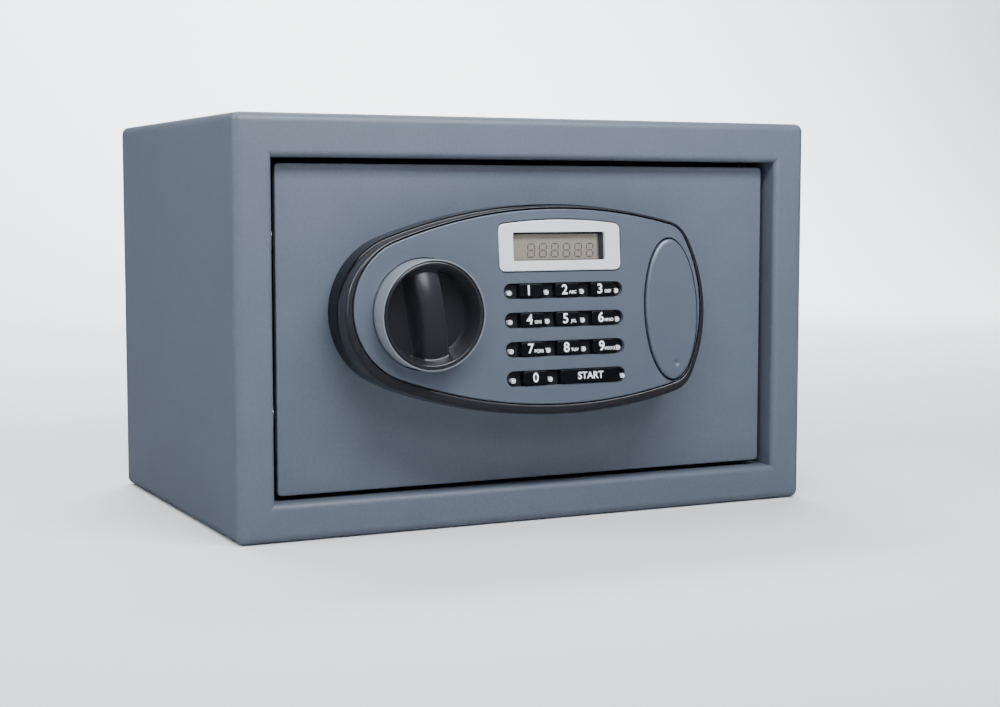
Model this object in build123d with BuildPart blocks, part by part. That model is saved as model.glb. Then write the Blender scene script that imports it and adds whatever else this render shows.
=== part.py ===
from build123d import *
import math
import os

os.makedirs("parts", exist_ok=True)

# Electronic safe, sizes in millimetres.
# +X is to the right seen from the front, the front faces -Y, +Z is up.
# The origin is the middle of the steel body's underside.

# Steel body
BODY_W = 310
BODY_H = 197
BODY_D = 200
SHEET = 1.5
FOLD_R = 4
BEND_R = 3
INNER_BEND_R = 1.5
FRAME_SIDE = 18
FRAME_BOTTOM = 18
FRAME_TOP = 20
FRAME_RETURN = 20
ANCHOR_R = 5
ANCHOR_PITCH = 150
FLOOR_ANCHOR_BACK = 20
WALL_ANCHOR_Z = 120
MAT_T = 3
MAT_MARGIN = 3
MAT_HOLE_R = 12

# Door plate, recessed in the front frame
DOOR_RECESS = 8
DOOR_T = 3
DOOR_GAP_SIDE = 3.7
DOOR_GAP_BOTTOM = 2.4
DOOR_GAP_TOP = 2.7
DOOR_CORNER_R = 2
DOOR_EDGE_R = 0.6

# Pan behind the door plate, which holds the mechanism
PAN_DEPTH = 31
PAN_INSET_LEFT = 6.3
PAN_INSET_RIGHT = 2.3
PAN_INSET_BOTTOM = 7.6
PAN_INSET_TOP = 8.3
PAN_CORNER_R = 3
PAN_LIP = 12
COVER_T = 1.5
COVER_SCREW_INSET = 7
COVER_SCREW_R = 2
COVER_HEAD_R = 3.8
COVER_HEAD_T = 1.6
COVER_SCREW_DEPTH = 5

# Door hinge on the right, with hidden pins
HINGE_INSET = 8.3
HINGE_BACK = 7
HINGE_PIN_R = 2.5
HINGE_FIT = 0.05
HINGE_TAB_R = 4
HINGE_TAB_L = 8
HINGE_BRACKET_T = 3
HINGE_BRACKET_L = 30
HINGE_PIN_PAST = 1

# Outline of the faceplate: tangent arcs, even above and below its middle line
FACE_SHIFT = 1.57
FACE_LEFT_X = -70.44
FACE_LEFT_R = 33.77
FACE_RIGHT_X = 10.32
FACE_RIGHT_R = 70.69
FACE_LONG_X = 3.11
FACE_LONG_R = 247.55
FACE_CORNER_R = 12

# Front panel, whose face leans back
PANEL_DROP = 69.3
PANEL_STAND = 24
PANEL_TILT = 4.574
PANEL_STEP = 12.5
PANEL_EDGE = 3.7
PANEL_WALL = 2.6
PANEL_EDGE_R = 1.5
DECK_BACK = 4
DECK_T = 2
BEZEL_EDGE = 2.4
BEZEL_GROOVE = 0.7
BEZEL_SINK = 0.2
BEZEL_BEAD_R = 1.5
FACE_T = 2.5
FACE_EDGE_R = 0.5
CARRIER_T = 2
CARRIER_GAP = 0.3
LEDGE_IN = 2.5
LEDGE_T = 2
LEDGE_GAP = 0.1
BOSS_R = 3
PANEL_SCREW_R = 1.5
PANEL_HEAD_R = 3.2
PANEL_HEAD_T = 1.8
PANEL_SCREW_DEPTH = 6
PANEL_SCREW_FIT = 0.2
BOSS_X = (-38, 12)
BOSS_HALF_PITCH = 35

# Knob
KNOB_X = -68.9
KNOB_DROP = 0.3
KNOB_STAND = 11
KNOB_R = 25.8
KNOB_GAP = 0.5
KNOB_RIM = 0.6
KNOB_RIM_R = 0.3
GRIP_SINK = 0.2
GRIP_BAR = 11.5
GRIP_TILT = 8
POCKET_R = 21.8
POCKET_DEPTH = 10.8
POCKET_DRAFT = 18
GRIP_T = 14.8
SHAFT_R = 5
SHAFT_FIT = 0.05
BUSH_WALL = 3
CRANK_R = 18
CRANK_T = 4
CRANK_OFF = 1.5
CRANK_ARM = 12
CRANK_PIN_R = 3
CRANK_START = 45
CLIP_R = 8
CLIP_T = 1.2
SHAFT_PAST = 0.8
SHAFT_IN_GRIP = 8

# Bolt plate and locking bolts
BOLT_R = 7
BOLT_LENGTH = 37
BOLT_GAP = 1
BOLT_FIT = 0.1
BOLT_OUT = 4
BOLT_TRAVEL = 17
BOLT_INSET = 27
BOLT_TIP_R = 1
WEB_T = 3
WEB_FLANGE = 15
WEB_DROP = 26.7
WEB_RISE = 23.3
WEB_FLANGE_OVER = 8
WEB_RIGHT = 50
CRANK_SLOT_W = 7
CRANK_SLOT_L = 14
TOOTH_W = 8
TOOTH_H = 7
TOOTH_INSET = 2
GUIDE_R = 3
GUIDE_FIT = 0.1
GUIDE_HEAD_R = 5
GUIDE_HEAD_T = 2
GUIDE_X = (-30, 24)
GUIDE_DROP = 16.7
BOLT_SCREW_R = 3
BOLT_SCREW_DEPTH = 8
BOLT_HEAD_R = 5
BOLT_HEAD_T = 3

# Solenoid, whose plunger stops the tooth of the bolt plate
PLUNGER_R = 3
PLUNGER_TRAVEL = 5
PLUNGER_TIP_GAP = 1
PLUNGER_FIT = 0.1
COLLAR_R = 5
COLLAR_T = 2
COLLAR_GAP = 0.5
SOLENOID_W = 26
SOLENOID_TOP_GAP = 2.9
SOLENOID_WALL = 1.5
COIL_GAP = 0.3

# Override lock behind the oval cover
LOCK_X = 64
LOCK_RISE = 13
LOCK_R = 9
LOCK_FLANGE_R = 11
LOCK_FLANGE_T = 2
LOCK_PLUG_R = 5.5
LOCK_FIT = 0.05
LOCK_NUT_R = 13
LOCK_NUT_T = 4
LOCK_PAST_NUT = 3
LOCK_TURN = 90
KEYWAY_R = 3.6
KEYWAY_PIN_R = 2.2
KEYWAY_DEPTH = 5
CAM_T = 2
CAM_W = 9
CAM_TIP_GAP = 0.6
CAM_BACK = 2
CONTACT_R = 2.5
CONTACT_PITCH = 12
CONTACT_DROP = 17
CONTACT_H = 2.5

# Oval cover
OVAL_X = 64
OVAL_DROP = 1.5
OVAL_W = 29.6
OVAL_H = 69.9
OVAL_GAP = 0.7
OVAL_PROUD = 0.3
OVAL_LEDGE = 1.3
OVAL_FIT = 0.1
OVAL_EDGE_R = 0.4
OVAL_SKIRT = 2
OVAL_SKIRT_T = 1.2
DIMPLE_X = 66.6
DIMPLE_DROP = 28.3
DIMPLE_R = 2.2
DIMPLE_DEPTH = 0.5

# Display
LCD_X = 3
LCD_W = 65.8
LCD_RISE = 18.7
LCD_TOP_MARGIN = 5.2
LCD_CORNER_R = 3
LCD_PROUD = 0.4
LCD_GROOVE = 0.6
WINDOW_X = 2.55
WINDOW_W = 49.9
WINDOW_RISE = 4.9
WINDOW_H = 13.6
WINDOW_R = 0.8
LENS_T = 1
LENS_GAP = 0.1
LCD_GLASS_W = 56
LCD_GLASS_H = 18
LCD_FIT = 0.2

# Keys
KEY_W = 12.7
KEY_H = 6.6
KEY_R = 1.2
KEY_PITCH = 19.4
KEY_MIDDLE_X = 5.8
KEY_ROW_PITCH = 13.85
KEY_TOP_RISE = 9.3
KEY_STEP_R = 0.4
KEY_PROUD = 0.8
KEY_FIT = 0.15
KEY_FLANGE = 0.9
KEY_FLANGE_T = 0.8
KEY_FLANGE_GAP = 0.1
KEY_TRAVEL = 1
ZERO_X = -13
START_X = 16.9
START_W = 32.6
PILL_X = 4.3
PILL_W = 64.8
PILL_H = 7.4
DOT_R = 1.2
DOT_DROP = 0.9
DOT_PROUD = 0.1
DOT_X = (-25.2, -5.4, 13.9, 33)
LAST_ROW_DOT_X = (-24.6, -4.8, 35)

# Circuit board and rubber mat under the keys
MAT_GAP = 0.3
KEYPAD_MAT_T = 0.7
KEYPAD_MAT_W = 60
BOARD_T = 1.2
BOARD_LEFT = -31
BOARD_RIGHT = 42
BOARD_DROP = 40
BOARD_RISE = 42
BOARD_POST_R = 2
BOARD_POST_INSET = 2.4

# Batteries in the back of the door
CELL_R = 7.25
CELL_L = 50.5
CELL_GAP = 0.6
CELL_COUNT = 4
CONTACT_ROOM = 4
SPRING_PLATE_T = 0.4
SPRING_PLATE_W = 7.2
SPRING_R = 2.4
BATTERY_X = -10
BATTERY_LIP_GAP = 1
BATTERY_WALL = 1.5
BATTERY_FLOOR_GAP = 0.3
BATTERY_FLANGE = 3
LID_T = 2
LID_OVER = 3
LID_FIT = 0.1
LID_SLIDE = 50
LID_GRIP_W = 20
LID_GRIP_H = 1
LID_GRIP_T = 2
LID_GRIP_R = 0.6
RAIL_T = 1.2
RAIL_LIP = 2.5

# Reset button
RESET_INSET = 31
RESET_RISE = 32
RESET_R = 4
RESET_FLANGE_R = 6
RESET_FLANGE_T = 1.2
RESET_PROUD = 3
RESET_FIT = 0.1
RESET_GUIDE_L = 5
RESET_GUIDE_WALL = 1.5
RESET_EDGE_R = 0.5

# Leads from the board
LEAD_R = 1.5
LEAD_HOLE_R = 3.5
BATTERY_LEAD_X = -5
BATTERY_LEAD_RISE = 2
SOLENOID_LEAD_RISE = 1.5
SOLENOID_LEAD_OFF = 6.5

# Places worked out from the sizes
front_y = -BODY_D / 2
back_y = BODY_D / 2
door_y = front_y + DOOR_RECESS
plate_back_y = door_y + DOOR_T
return_y = front_y + FRAME_RETURN
open_half_w = BODY_W / 2 - FRAME_SIDE
open_bottom = FRAME_BOTTOM
open_top = BODY_H - FRAME_TOP
door_half_w = open_half_w - DOOR_GAP_SIDE
door_bottom = open_bottom + DOOR_GAP_BOTTOM
door_top = open_top - DOOR_GAP_TOP
pan_left = -door_half_w + PAN_INSET_LEFT
pan_right = door_half_w - PAN_INSET_RIGHT
pan_bottom = door_bottom + PAN_INSET_BOTTOM
pan_top = door_top - PAN_INSET_TOP
pan_x = (pan_left + pan_right) / 2
pan_z = (pan_bottom + pan_top) / 2
panel_z = door_top - PANEL_DROP
knob_z = panel_z - KNOB_DROP
lock_z = panel_z + LOCK_RISE
contact_z = panel_z - CONTACT_DROP
oval_z = panel_z - OVAL_DROP
dimple_z = panel_z - DIMPLE_DROP
lcd_bottom = panel_z + LCD_RISE
window_bottom = lcd_bottom + WINDOW_RISE
key_top_z = panel_z + KEY_TOP_RISE
board_bottom = panel_z - BOARD_DROP
board_top = panel_z + BOARD_RISE
web_bottom = knob_z - WEB_DROP
web_top = knob_z + WEB_RISE
guide_z = knob_z - GUIDE_DROP
box_w = CELL_L + 2 * CONTACT_ROOM
box_h = CELL_COUNT * (2 * CELL_R + CELL_GAP) + CELL_GAP
box_rim_h = box_h + 2 * (BATTERY_WALL + BATTERY_FLANGE)
battery_z = pan_bottom + PAN_LIP + BATTERY_LIP_GAP + box_rim_h / 2
reset_x = pan_right - RESET_INSET
reset_z = pan_bottom + RESET_RISE
pan_back_y = plate_back_y + PAN_DEPTH
cover_back_y = pan_back_y + COVER_T
hinge_x = door_half_w - HINGE_INSET
hinge_y = door_y + HINGE_BACK
face_y = door_y - PANEL_STAND
step_y = door_y - PANEL_STEP
deck_y = step_y + DECK_BACK
bolt_y = return_y + BOLT_GAP + BOLT_R
bolt_tip_x = pan_left - BOLT_OUT
web_y = bolt_y - BOLT_R - BOLT_GAP
flange_x = bolt_tip_x + BOLT_LENGTH
tooth_x = WEB_RIGHT - TOOTH_INSET - TOOTH_W / 2
tooth_top = web_top + TOOTH_H
plunger_x = tooth_x - BOLT_TRAVEL / 2
plunger_y = web_y + WEB_T / 2
plunger_tip_z = tooth_top + PLUNGER_TIP_GAP
collar_z = tooth_top + PLUNGER_TRAVEL + COLLAR_GAP
solenoid_z = collar_z + COLLAR_T + PLUNGER_FIT
solenoid_h = pan_top - SHEET - SOLENOID_TOP_GAP - solenoid_z
tilt = math.radians(PANEL_TILT)
face_plane = Plane(
    origin=(0, face_y, panel_z),
    x_dir=(1, 0, 0),
    z_dir=(0, -math.cos(tilt), math.sin(tilt)),
)
carrier_depth = FACE_T
carrier_back = carrier_depth + CARRIER_T
flange_depth = carrier_back + KEY_FLANGE_GAP
mat_depth = flange_depth + KEY_FLANGE_T + KEY_TRAVEL + MAT_GAP
board_depth = mat_depth + KEYPAD_MAT_T
knob_front_y = face_y - KNOB_STAND
grip_front_y = knob_front_y + GRIP_SINK
grip_back_y = grip_front_y + GRIP_T
crank_y = plate_back_y + CRANK_OFF
clip_y = crank_y + CRANK_T
start = math.radians(CRANK_START)
pin_x = KNOB_X + CRANK_ARM * math.sin(start)
pin_z = knob_z + CRANK_ARM * math.cos(start)
slot_z = knob_z + CRANK_ARM * (1 + math.cos(start)) / 2
bush_r = SHAFT_R + SHAFT_FIT + BUSH_WALL
bolt_z = (pan_bottom + BOLT_INSET, pan_top - BOLT_INSET)
lock_end_y = plate_back_y + LOCK_NUT_T + LOCK_PAST_NUT
cam_y = web_y + WEB_T + CAM_BACK
cam_lift = collar_z - CAM_TIP_GAP - CAM_W / 2 - lock_z
cam_reach = math.hypot(LOCK_X - plunger_x, cam_lift)
cam_rest = math.degrees(math.atan2(cam_lift, plunger_x - LOCK_X)) + LOCK_TURN
lead_x = plunger_x - SOLENOID_LEAD_OFF
battery_lead_z = board_bottom + BATTERY_LEAD_RISE
solenoid_lead_z = solenoid_z + SOLENOID_LEAD_RISE


def facing(y):
    """Plane that faces the front at depth y, with X across and Z up."""
    return Plane.XZ.offset(-y)


def along_x(x):
    """Plane that faces the right side at x, with Y across and Z up."""
    return Plane.YZ.offset(x)


def on_face(z):
    """Height on the leaning face for a height z above the base."""
    return (z - panel_z) / math.cos(tilt)


def face_depth(depth):
    """Plane parallel to the panel's face, a depth behind it."""
    return face_plane.offset(-depth)


def write(builder, label):
    """Label a finished piece and write its file."""
    builder.part.label = label
    export_step(builder.part, f"parts/{label}.step")


def round_arc(centre, radius, from_deg, to_deg):
    """Arc of a circle between two angles."""
    x, y = centre
    ends = [math.radians(a) for a in (from_deg, (from_deg + to_deg) / 2, to_deg)]
    points = [(x + radius * math.cos(a), y + radius * math.sin(a)) for a in ends]
    return ThreePointArc(*points)


# The long arcs touch the left arc from inside, the corner arcs touch the long and the right arcs.
long_drop = math.sqrt((FACE_LONG_R - FACE_LEFT_R) ** 2 - (FACE_LONG_X - FACE_LEFT_X) ** 2)
left_deg = math.degrees(math.atan2(long_drop, FACE_LEFT_X - FACE_LONG_X))
centre_gap = math.hypot(FACE_RIGHT_X - FACE_LONG_X, long_drop)
long_side = FACE_LONG_R - FACE_CORNER_R
right_side = FACE_RIGHT_R - FACE_CORNER_R
centre_cos = (long_side**2 + centre_gap**2 - right_side**2) / (2 * long_side * centre_gap)
corner_turn = math.atan2(long_drop, FACE_RIGHT_X - FACE_LONG_X) - math.acos(centre_cos)
corner_x = FACE_LONG_X + long_side * math.cos(corner_turn)
corner_rise = long_side * math.sin(corner_turn) - long_drop
long_deg = math.degrees(corner_turn)
right_deg = math.degrees(math.atan2(corner_rise, corner_x - FACE_RIGHT_X))


def face_outline(edge, middle):
    """Faceplate's outline as a sketch, moved outwards by edge, about a middle height."""
    with BuildSketch() as outline:
        with BuildLine():
            round_arc((FACE_LEFT_X, middle), FACE_LEFT_R + edge, left_deg, 360 - left_deg)
            round_arc((FACE_LONG_X, middle + long_drop), FACE_LONG_R + edge, -left_deg, -long_deg)
            round_arc((corner_x, middle - corner_rise), FACE_CORNER_R + edge, -long_deg, -right_deg)
            round_arc((FACE_RIGHT_X, middle), FACE_RIGHT_R + edge, -right_deg, right_deg)
            round_arc((corner_x, middle + corner_rise), FACE_CORNER_R + edge, right_deg, long_deg)
            round_arc((FACE_LONG_X, middle - long_drop), FACE_LONG_R + edge, long_deg, left_deg)
        make_face()
    return outline.sketch


def lcd_outline():
    """Draw the display bezel's outline on the face: its top follows the faceplate's long arc."""
    arc_r = FACE_LONG_R - LCD_TOP_MARGIN
    bottom = on_face(lcd_bottom)
    with Locations((LCD_X, bottom)):
        Rectangle(LCD_W, arc_r, align=(Align.CENTER, Align.MIN))
    with Locations((FACE_LONG_X, FACE_SHIFT - long_drop)):
        Circle(arc_r, mode=Mode.INTERSECT)


# Steel body: folded sides, front frame and its return, in one sheet
with BuildPart() as body_shell:
    with BuildSketch(facing(front_y)):
        with Locations((0, BODY_H / 2)):
            Rectangle(BODY_W, BODY_H)
    extrude(amount=-BODY_D)
    fillet(body_shell.edges().filter_by(Axis.Y), FOLD_R)
    fillet(body_shell.faces().sort_by(Axis.Y)[0].edges(), FOLD_R)
    with BuildSketch(facing(front_y + SHEET)):
        with Locations((0, BODY_H / 2)):
            RectangleRounded(BODY_W - 2 * SHEET, BODY_H - 2 * SHEET, FOLD_R - SHEET)
    extrude(amount=-BODY_D, mode=Mode.SUBTRACT)
    with BuildSketch(facing(front_y + SHEET)):
        with Locations((0, (open_top + open_bottom) / 2)):
            Rectangle(2 * (open_half_w + SHEET), open_top - open_bottom + 2 * SHEET)
    extrude(amount=-(FRAME_RETURN - SHEET))
    with BuildSketch(facing(front_y)):
        with Locations((0, (open_top + open_bottom) / 2)):
            Rectangle(2 * open_half_w, open_top - open_bottom)
    extrude(amount=-FRAME_RETURN, mode=Mode.SUBTRACT)
    front_face = body_shell.faces().sort_by(Axis.Y)[0]
    fillet(front_face.inner_wires()[0].edges(), BEND_R)
    inner_y = front_y + SHEET
    bends = body_shell.edges().filter_by_position(Axis.Y, inner_y - SHEET / 2, inner_y + SHEET / 2)
    fillet(bends, INNER_BEND_R)
    with BuildSketch(Plane.XY):
        with Locations((0, FLOOR_ANCHOR_BACK)):
            with GridLocations(ANCHOR_PITCH, 0, 2, 1):
                Circle(ANCHOR_R)
    extrude(amount=SHEET, mode=Mode.SUBTRACT)
    with BuildSketch(Plane.XY.offset(open_bottom - SHEET)):
        with Locations((hinge_x, hinge_y)):
            Circle(HINGE_PIN_R + HINGE_FIT)
    extrude(amount=open_top - open_bottom + 2 * SHEET, mode=Mode.SUBTRACT)
write(body_shell, "body_shell")

# Back panel, welded inside the body's rear edge
with BuildPart() as back_panel:
    with BuildSketch(facing(back_y - SHEET)):
        with Locations((0, BODY_H / 2)):
            RectangleRounded(BODY_W - 2 * SHEET, BODY_H - 2 * SHEET, FOLD_R - SHEET)
        with Locations((0, WALL_ANCHOR_Z)):
            with GridLocations(ANCHOR_PITCH, 0, 2, 1):
                Circle(ANCHOR_R, mode=Mode.SUBTRACT)
    extrude(amount=-SHEET)
write(back_panel, "back_panel")

# Brackets that back the hinge pin's holes in the frame's return
with BuildPart() as hinge_brackets:
    for bracket_z in (open_bottom - SHEET - HINGE_BRACKET_T, open_top + SHEET):
        with BuildSketch(Plane.XY.offset(bracket_z)):
            with Locations((hinge_x, (inner_y + return_y) / 2)):
                Rectangle(HINGE_BRACKET_L, return_y - inner_y - 2 * INNER_BEND_R)
            with Locations((hinge_x, hinge_y)):
                Circle(HINGE_PIN_R + HINGE_FIT, mode=Mode.SUBTRACT)
        extrude(amount=HINGE_BRACKET_T)
write(hinge_brackets, "hinge_brackets")

# Mat on the floor, open round the floor's anchor holes
with BuildPart() as floor_mat:
    with BuildSketch(Plane.XY.offset(SHEET)):
        Rectangle(BODY_W - 2 * (SHEET + MAT_MARGIN), BODY_D - 2 * (SHEET + MAT_MARGIN))
        with Locations((0, FLOOR_ANCHOR_BACK)):
            with GridLocations(ANCHOR_PITCH, 0, 2, 1):
                Circle(MAT_HOLE_R, mode=Mode.SUBTRACT)
    extrude(amount=MAT_T)
write(floor_mat, "floor_mat")

# Door plate with the holes for knob, lock, screws, guides and leads
panel_screw_z = (panel_z - BOSS_HALF_PITCH, panel_z + BOSS_HALF_PITCH)
panel_screw_spots = [(x, z) for x in BOSS_X for z in panel_screw_z]
lead_spots = [(BATTERY_LEAD_X, battery_lead_z), (lead_x, solenoid_lead_z)]
guide_spots = [(x, guide_z) for x in GUIDE_X]
with BuildPart() as door_plate:
    with BuildSketch(facing(door_y)):
        with Locations((0, (door_top + door_bottom) / 2)):
            RectangleRounded(2 * door_half_w, door_top - door_bottom, DOOR_CORNER_R)
    extrude(amount=-DOOR_T)
    fillet(door_plate.faces().sort_by(Axis.Y)[0].edges(), DOOR_EDGE_R)
    with BuildSketch(facing(door_y)):
        with Locations((KNOB_X, knob_z)):
            Circle(bush_r)
        with Locations((LOCK_X, lock_z)):
            Circle(LOCK_R)
        with Locations(*panel_screw_spots):
            Circle(PANEL_SCREW_R + PANEL_SCREW_FIT)
        with Locations(*lead_spots):
            Circle(LEAD_HOLE_R)
        with Locations(*guide_spots):
            Circle(GUIDE_R)
    extrude(amount=-DOOR_T, mode=Mode.SUBTRACT)
write(door_plate, "door_plate")

# Pan behind the door plate: a wall all round with a lip for the cover
pan_w = pan_right - pan_left
pan_h = pan_top - pan_bottom
with BuildPart() as door_pan:
    with BuildSketch(facing(plate_back_y)):
        with Locations((pan_x, pan_z)):
            RectangleRounded(pan_w, pan_h, PAN_CORNER_R)
            Rectangle(pan_w - 2 * SHEET, pan_h - 2 * SHEET, mode=Mode.SUBTRACT)
    extrude(amount=-PAN_DEPTH)
    with BuildSketch(facing(pan_back_y)):
        with Locations((pan_x, pan_z)):
            Rectangle(pan_w - 2 * SHEET, pan_h - 2 * SHEET)
            Rectangle(pan_w - 2 * PAN_LIP, pan_h - 2 * PAN_LIP, mode=Mode.SUBTRACT)
    extrude(amount=SHEET)
    with BuildSketch(facing(pan_back_y)):
        with Locations((pan_x, pan_z)):
            with GridLocations(pan_w - 2 * COVER_SCREW_INSET, pan_h - 2 * COVER_SCREW_INSET, 2, 2):
                Circle(COVER_SCREW_R)
    extrude(amount=SHEET, mode=Mode.SUBTRACT)
    with BuildSketch(along_x(pan_left)):
        with Locations(*[(bolt_y, z) for z in bolt_z]):
            Circle(BOLT_R + BOLT_FIT)
    extrude(amount=SHEET, mode=Mode.SUBTRACT)
    with BuildSketch(Plane.XY.offset(pan_bottom)):
        with Locations((hinge_x, hinge_y)):
            Circle(HINGE_PIN_R)
    extrude(amount=pan_h, mode=Mode.SUBTRACT)
write(door_pan, "door_pan")

# Bosses that hold the hinge pins, and the pins themselves
tab_starts = (pan_bottom + SHEET, pan_top - SHEET - HINGE_TAB_L)
with BuildPart() as hinge_bosses:
    for tab_z in tab_starts:
        with BuildSketch(Plane.XY.offset(tab_z)):
            with Locations((hinge_x, hinge_y)):
                Circle(HINGE_TAB_R)
                Circle(HINGE_PIN_R, mode=Mode.SUBTRACT)
        extrude(amount=HINGE_TAB_L)
write(hinge_bosses, "hinge_bosses")

low_pin_z = open_bottom - SHEET - HINGE_BRACKET_T - HINGE_PIN_PAST
pin_l = pan_bottom + SHEET + HINGE_TAB_L - low_pin_z
high_pin_z = open_top + SHEET + HINGE_BRACKET_T + HINGE_PIN_PAST
high_pin_l = high_pin_z - (pan_top - SHEET - HINGE_TAB_L)
with BuildPart() as hinge_pins:
    for pin_start, length in ((low_pin_z, pin_l), (high_pin_z - high_pin_l, high_pin_l)):
        with BuildSketch(Plane.XY.offset(pin_start)):
            with Locations((hinge_x, hinge_y)):
                Circle(HINGE_PIN_R)
        extrude(amount=length)
write(hinge_pins, "hinge_pins")

# Battery box, open to the back of the door
box_floor_y = cover_back_y - 2 * CELL_R - BATTERY_FLOOR_GAP
battery_floor_y = box_floor_y - BATTERY_WALL
with BuildPart() as battery_box:
    with BuildSketch(facing(cover_back_y)):
        with Locations((BATTERY_X, battery_z)):
            Rectangle(box_w + 2 * BATTERY_WALL, box_h + 2 * BATTERY_WALL)
    extrude(amount=cover_back_y - battery_floor_y)
    with BuildSketch(facing(pan_back_y)):
        with Locations((BATTERY_X, battery_z)):
            rim_w = box_w + 2 * (BATTERY_WALL + BATTERY_FLANGE)
            Rectangle(rim_w, box_rim_h)
    extrude(amount=BATTERY_WALL)
    with BuildSketch(facing(cover_back_y)):
        with Locations((BATTERY_X, battery_z)):
            Rectangle(box_w, box_h)
    extrude(amount=cover_back_y - box_floor_y, mode=Mode.SUBTRACT)
write(battery_box, "battery_box")

cell_spots = GridLocations(0, 2 * CELL_R + CELL_GAP, 1, CELL_COUNT).locations
cell_y = box_floor_y + BATTERY_FLOOR_GAP / 2 + CELL_R
with BuildPart() as batteries:
    for spot in cell_spots:
        with BuildSketch(along_x(BATTERY_X - CELL_L / 2)):
            with Locations((cell_y, battery_z + spot.position.Y)):
                Circle(CELL_R)
        extrude(amount=CELL_L)
write(batteries, "batteries")

# Contact plates at both ends of each cell
with BuildPart() as battery_contacts:
    for spot in cell_spots:
        for side in (-1, 1):
            with BuildSketch(along_x(BATTERY_X + side * box_w / 2)):
                with Locations((cell_y, battery_z + spot.position.Y)):
                    Rectangle(SPRING_PLATE_W, SPRING_PLATE_W)
            extrude(amount=-side * SPRING_PLATE_T)
            with BuildSketch(along_x(BATTERY_X + side * (box_w / 2 - SPRING_PLATE_T))):
                with Locations((cell_y, battery_z + spot.position.Y)):
                    Circle(SPRING_R)
            extrude(amount=-side * (CONTACT_ROOM - SPRING_PLATE_T))
write(battery_contacts, "battery_contacts")

# Cover of the mechanism, with rails for the battery lid
lid_w = box_w + 2 * (BATTERY_WALL + LID_OVER)
lid_h = box_h + 2 * (BATTERY_WALL + LID_OVER)
lid_y = cover_back_y + LID_FIT
rail_l = lid_w + LID_SLIDE
rail_x = BATTERY_X - lid_w / 2 + rail_l / 2
rail_z = lid_h / 2 + LID_FIT + RAIL_T / 2
rail_back = LID_T + 2 * LID_FIT + RAIL_T
with BuildPart() as mechanism_cover:
    with BuildSketch(facing(pan_back_y)):
        with Locations((pan_x, pan_z)):
            RectangleRounded(pan_w, pan_h, PAN_CORNER_R)
            with GridLocations(pan_w - 2 * COVER_SCREW_INSET, pan_h - 2 * COVER_SCREW_INSET, 2, 2):
                Circle(COVER_SCREW_R, mode=Mode.SUBTRACT)
        with Locations((BATTERY_X, battery_z)):
            Rectangle(box_w + 2 * BATTERY_WALL, box_h + 2 * BATTERY_WALL, mode=Mode.SUBTRACT)
        with Locations((reset_x, reset_z)):
            Circle(RESET_R + RESET_FIT, mode=Mode.SUBTRACT)
    extrude(amount=-COVER_T)
    with BuildSketch(facing(cover_back_y)):
        with Locations((rail_x, battery_z + rail_z), (rail_x, battery_z - rail_z)):
            Rectangle(rail_l, RAIL_T)
    extrude(amount=-rail_back)
    with BuildSketch(facing(cover_back_y + rail_back - RAIL_T)):
        lip_z = rail_z + RAIL_T / 2 - RAIL_LIP / 2
        with Locations((rail_x, battery_z + lip_z), (rail_x, battery_z - lip_z)):
            Rectangle(rail_l, RAIL_LIP)
    extrude(amount=-RAIL_T)
write(mechanism_cover, "mechanism_cover")

with BuildPart() as cover_screws:
    with BuildSketch(facing(cover_back_y)):
        with Locations((pan_x, pan_z)):
            with GridLocations(pan_w - 2 * COVER_SCREW_INSET, pan_h - 2 * COVER_SCREW_INSET, 2, 2):
                Circle(COVER_HEAD_R)
    extrude(amount=-COVER_HEAD_T)
    with BuildSketch(facing(cover_back_y)):
        with Locations((pan_x, pan_z)):
            with GridLocations(pan_w - 2 * COVER_SCREW_INSET, pan_h - 2 * COVER_SCREW_INSET, 2, 2):
                Circle(COVER_SCREW_R)
    extrude(amount=COVER_SCREW_DEPTH)
write(cover_screws, "cover_screws")

with BuildPart() as battery_lid:
    with BuildSketch(facing(lid_y)):
        with Locations((BATTERY_X, battery_z)):
            Rectangle(lid_w, lid_h)
    extrude(amount=-LID_T)
    with BuildSketch(facing(lid_y + LID_T)):
        with Locations((BATTERY_X, battery_z)):
            RectangleRounded(LID_GRIP_T, LID_GRIP_W, LID_GRIP_R)
    extrude(amount=-LID_GRIP_H)
write(battery_lid, "battery_lid")

# Reset button in its guide behind the cover
with BuildPart() as reset_guide:
    with BuildSketch(facing(pan_back_y)):
        with Locations((reset_x, reset_z)):
            Circle(RESET_FLANGE_R + RESET_FIT + RESET_GUIDE_WALL)
    extrude(amount=RESET_GUIDE_L)
    with BuildSketch(facing(pan_back_y)):
        with Locations((reset_x, reset_z)):
            Circle(RESET_FLANGE_R + RESET_FIT)
    extrude(amount=RESET_GUIDE_L - RESET_GUIDE_WALL, mode=Mode.SUBTRACT)
write(reset_guide, "reset_guide")

with BuildPart() as reset_button:
    with BuildSketch(facing(pan_back_y - RESET_FIT)):
        with Locations((reset_x, reset_z)):
            Circle(RESET_FLANGE_R)
    extrude(amount=RESET_FLANGE_T)
    with BuildSketch(facing(pan_back_y - RESET_FIT)):
        with Locations((reset_x, reset_z)):
            Circle(RESET_R)
    extrude(amount=-(RESET_FIT + COVER_T + RESET_PROUD))
    fillet(reset_button.faces().sort_by(Axis.Y)[-1].edges(), RESET_EDGE_R)
write(reset_button, "reset_button")

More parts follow.
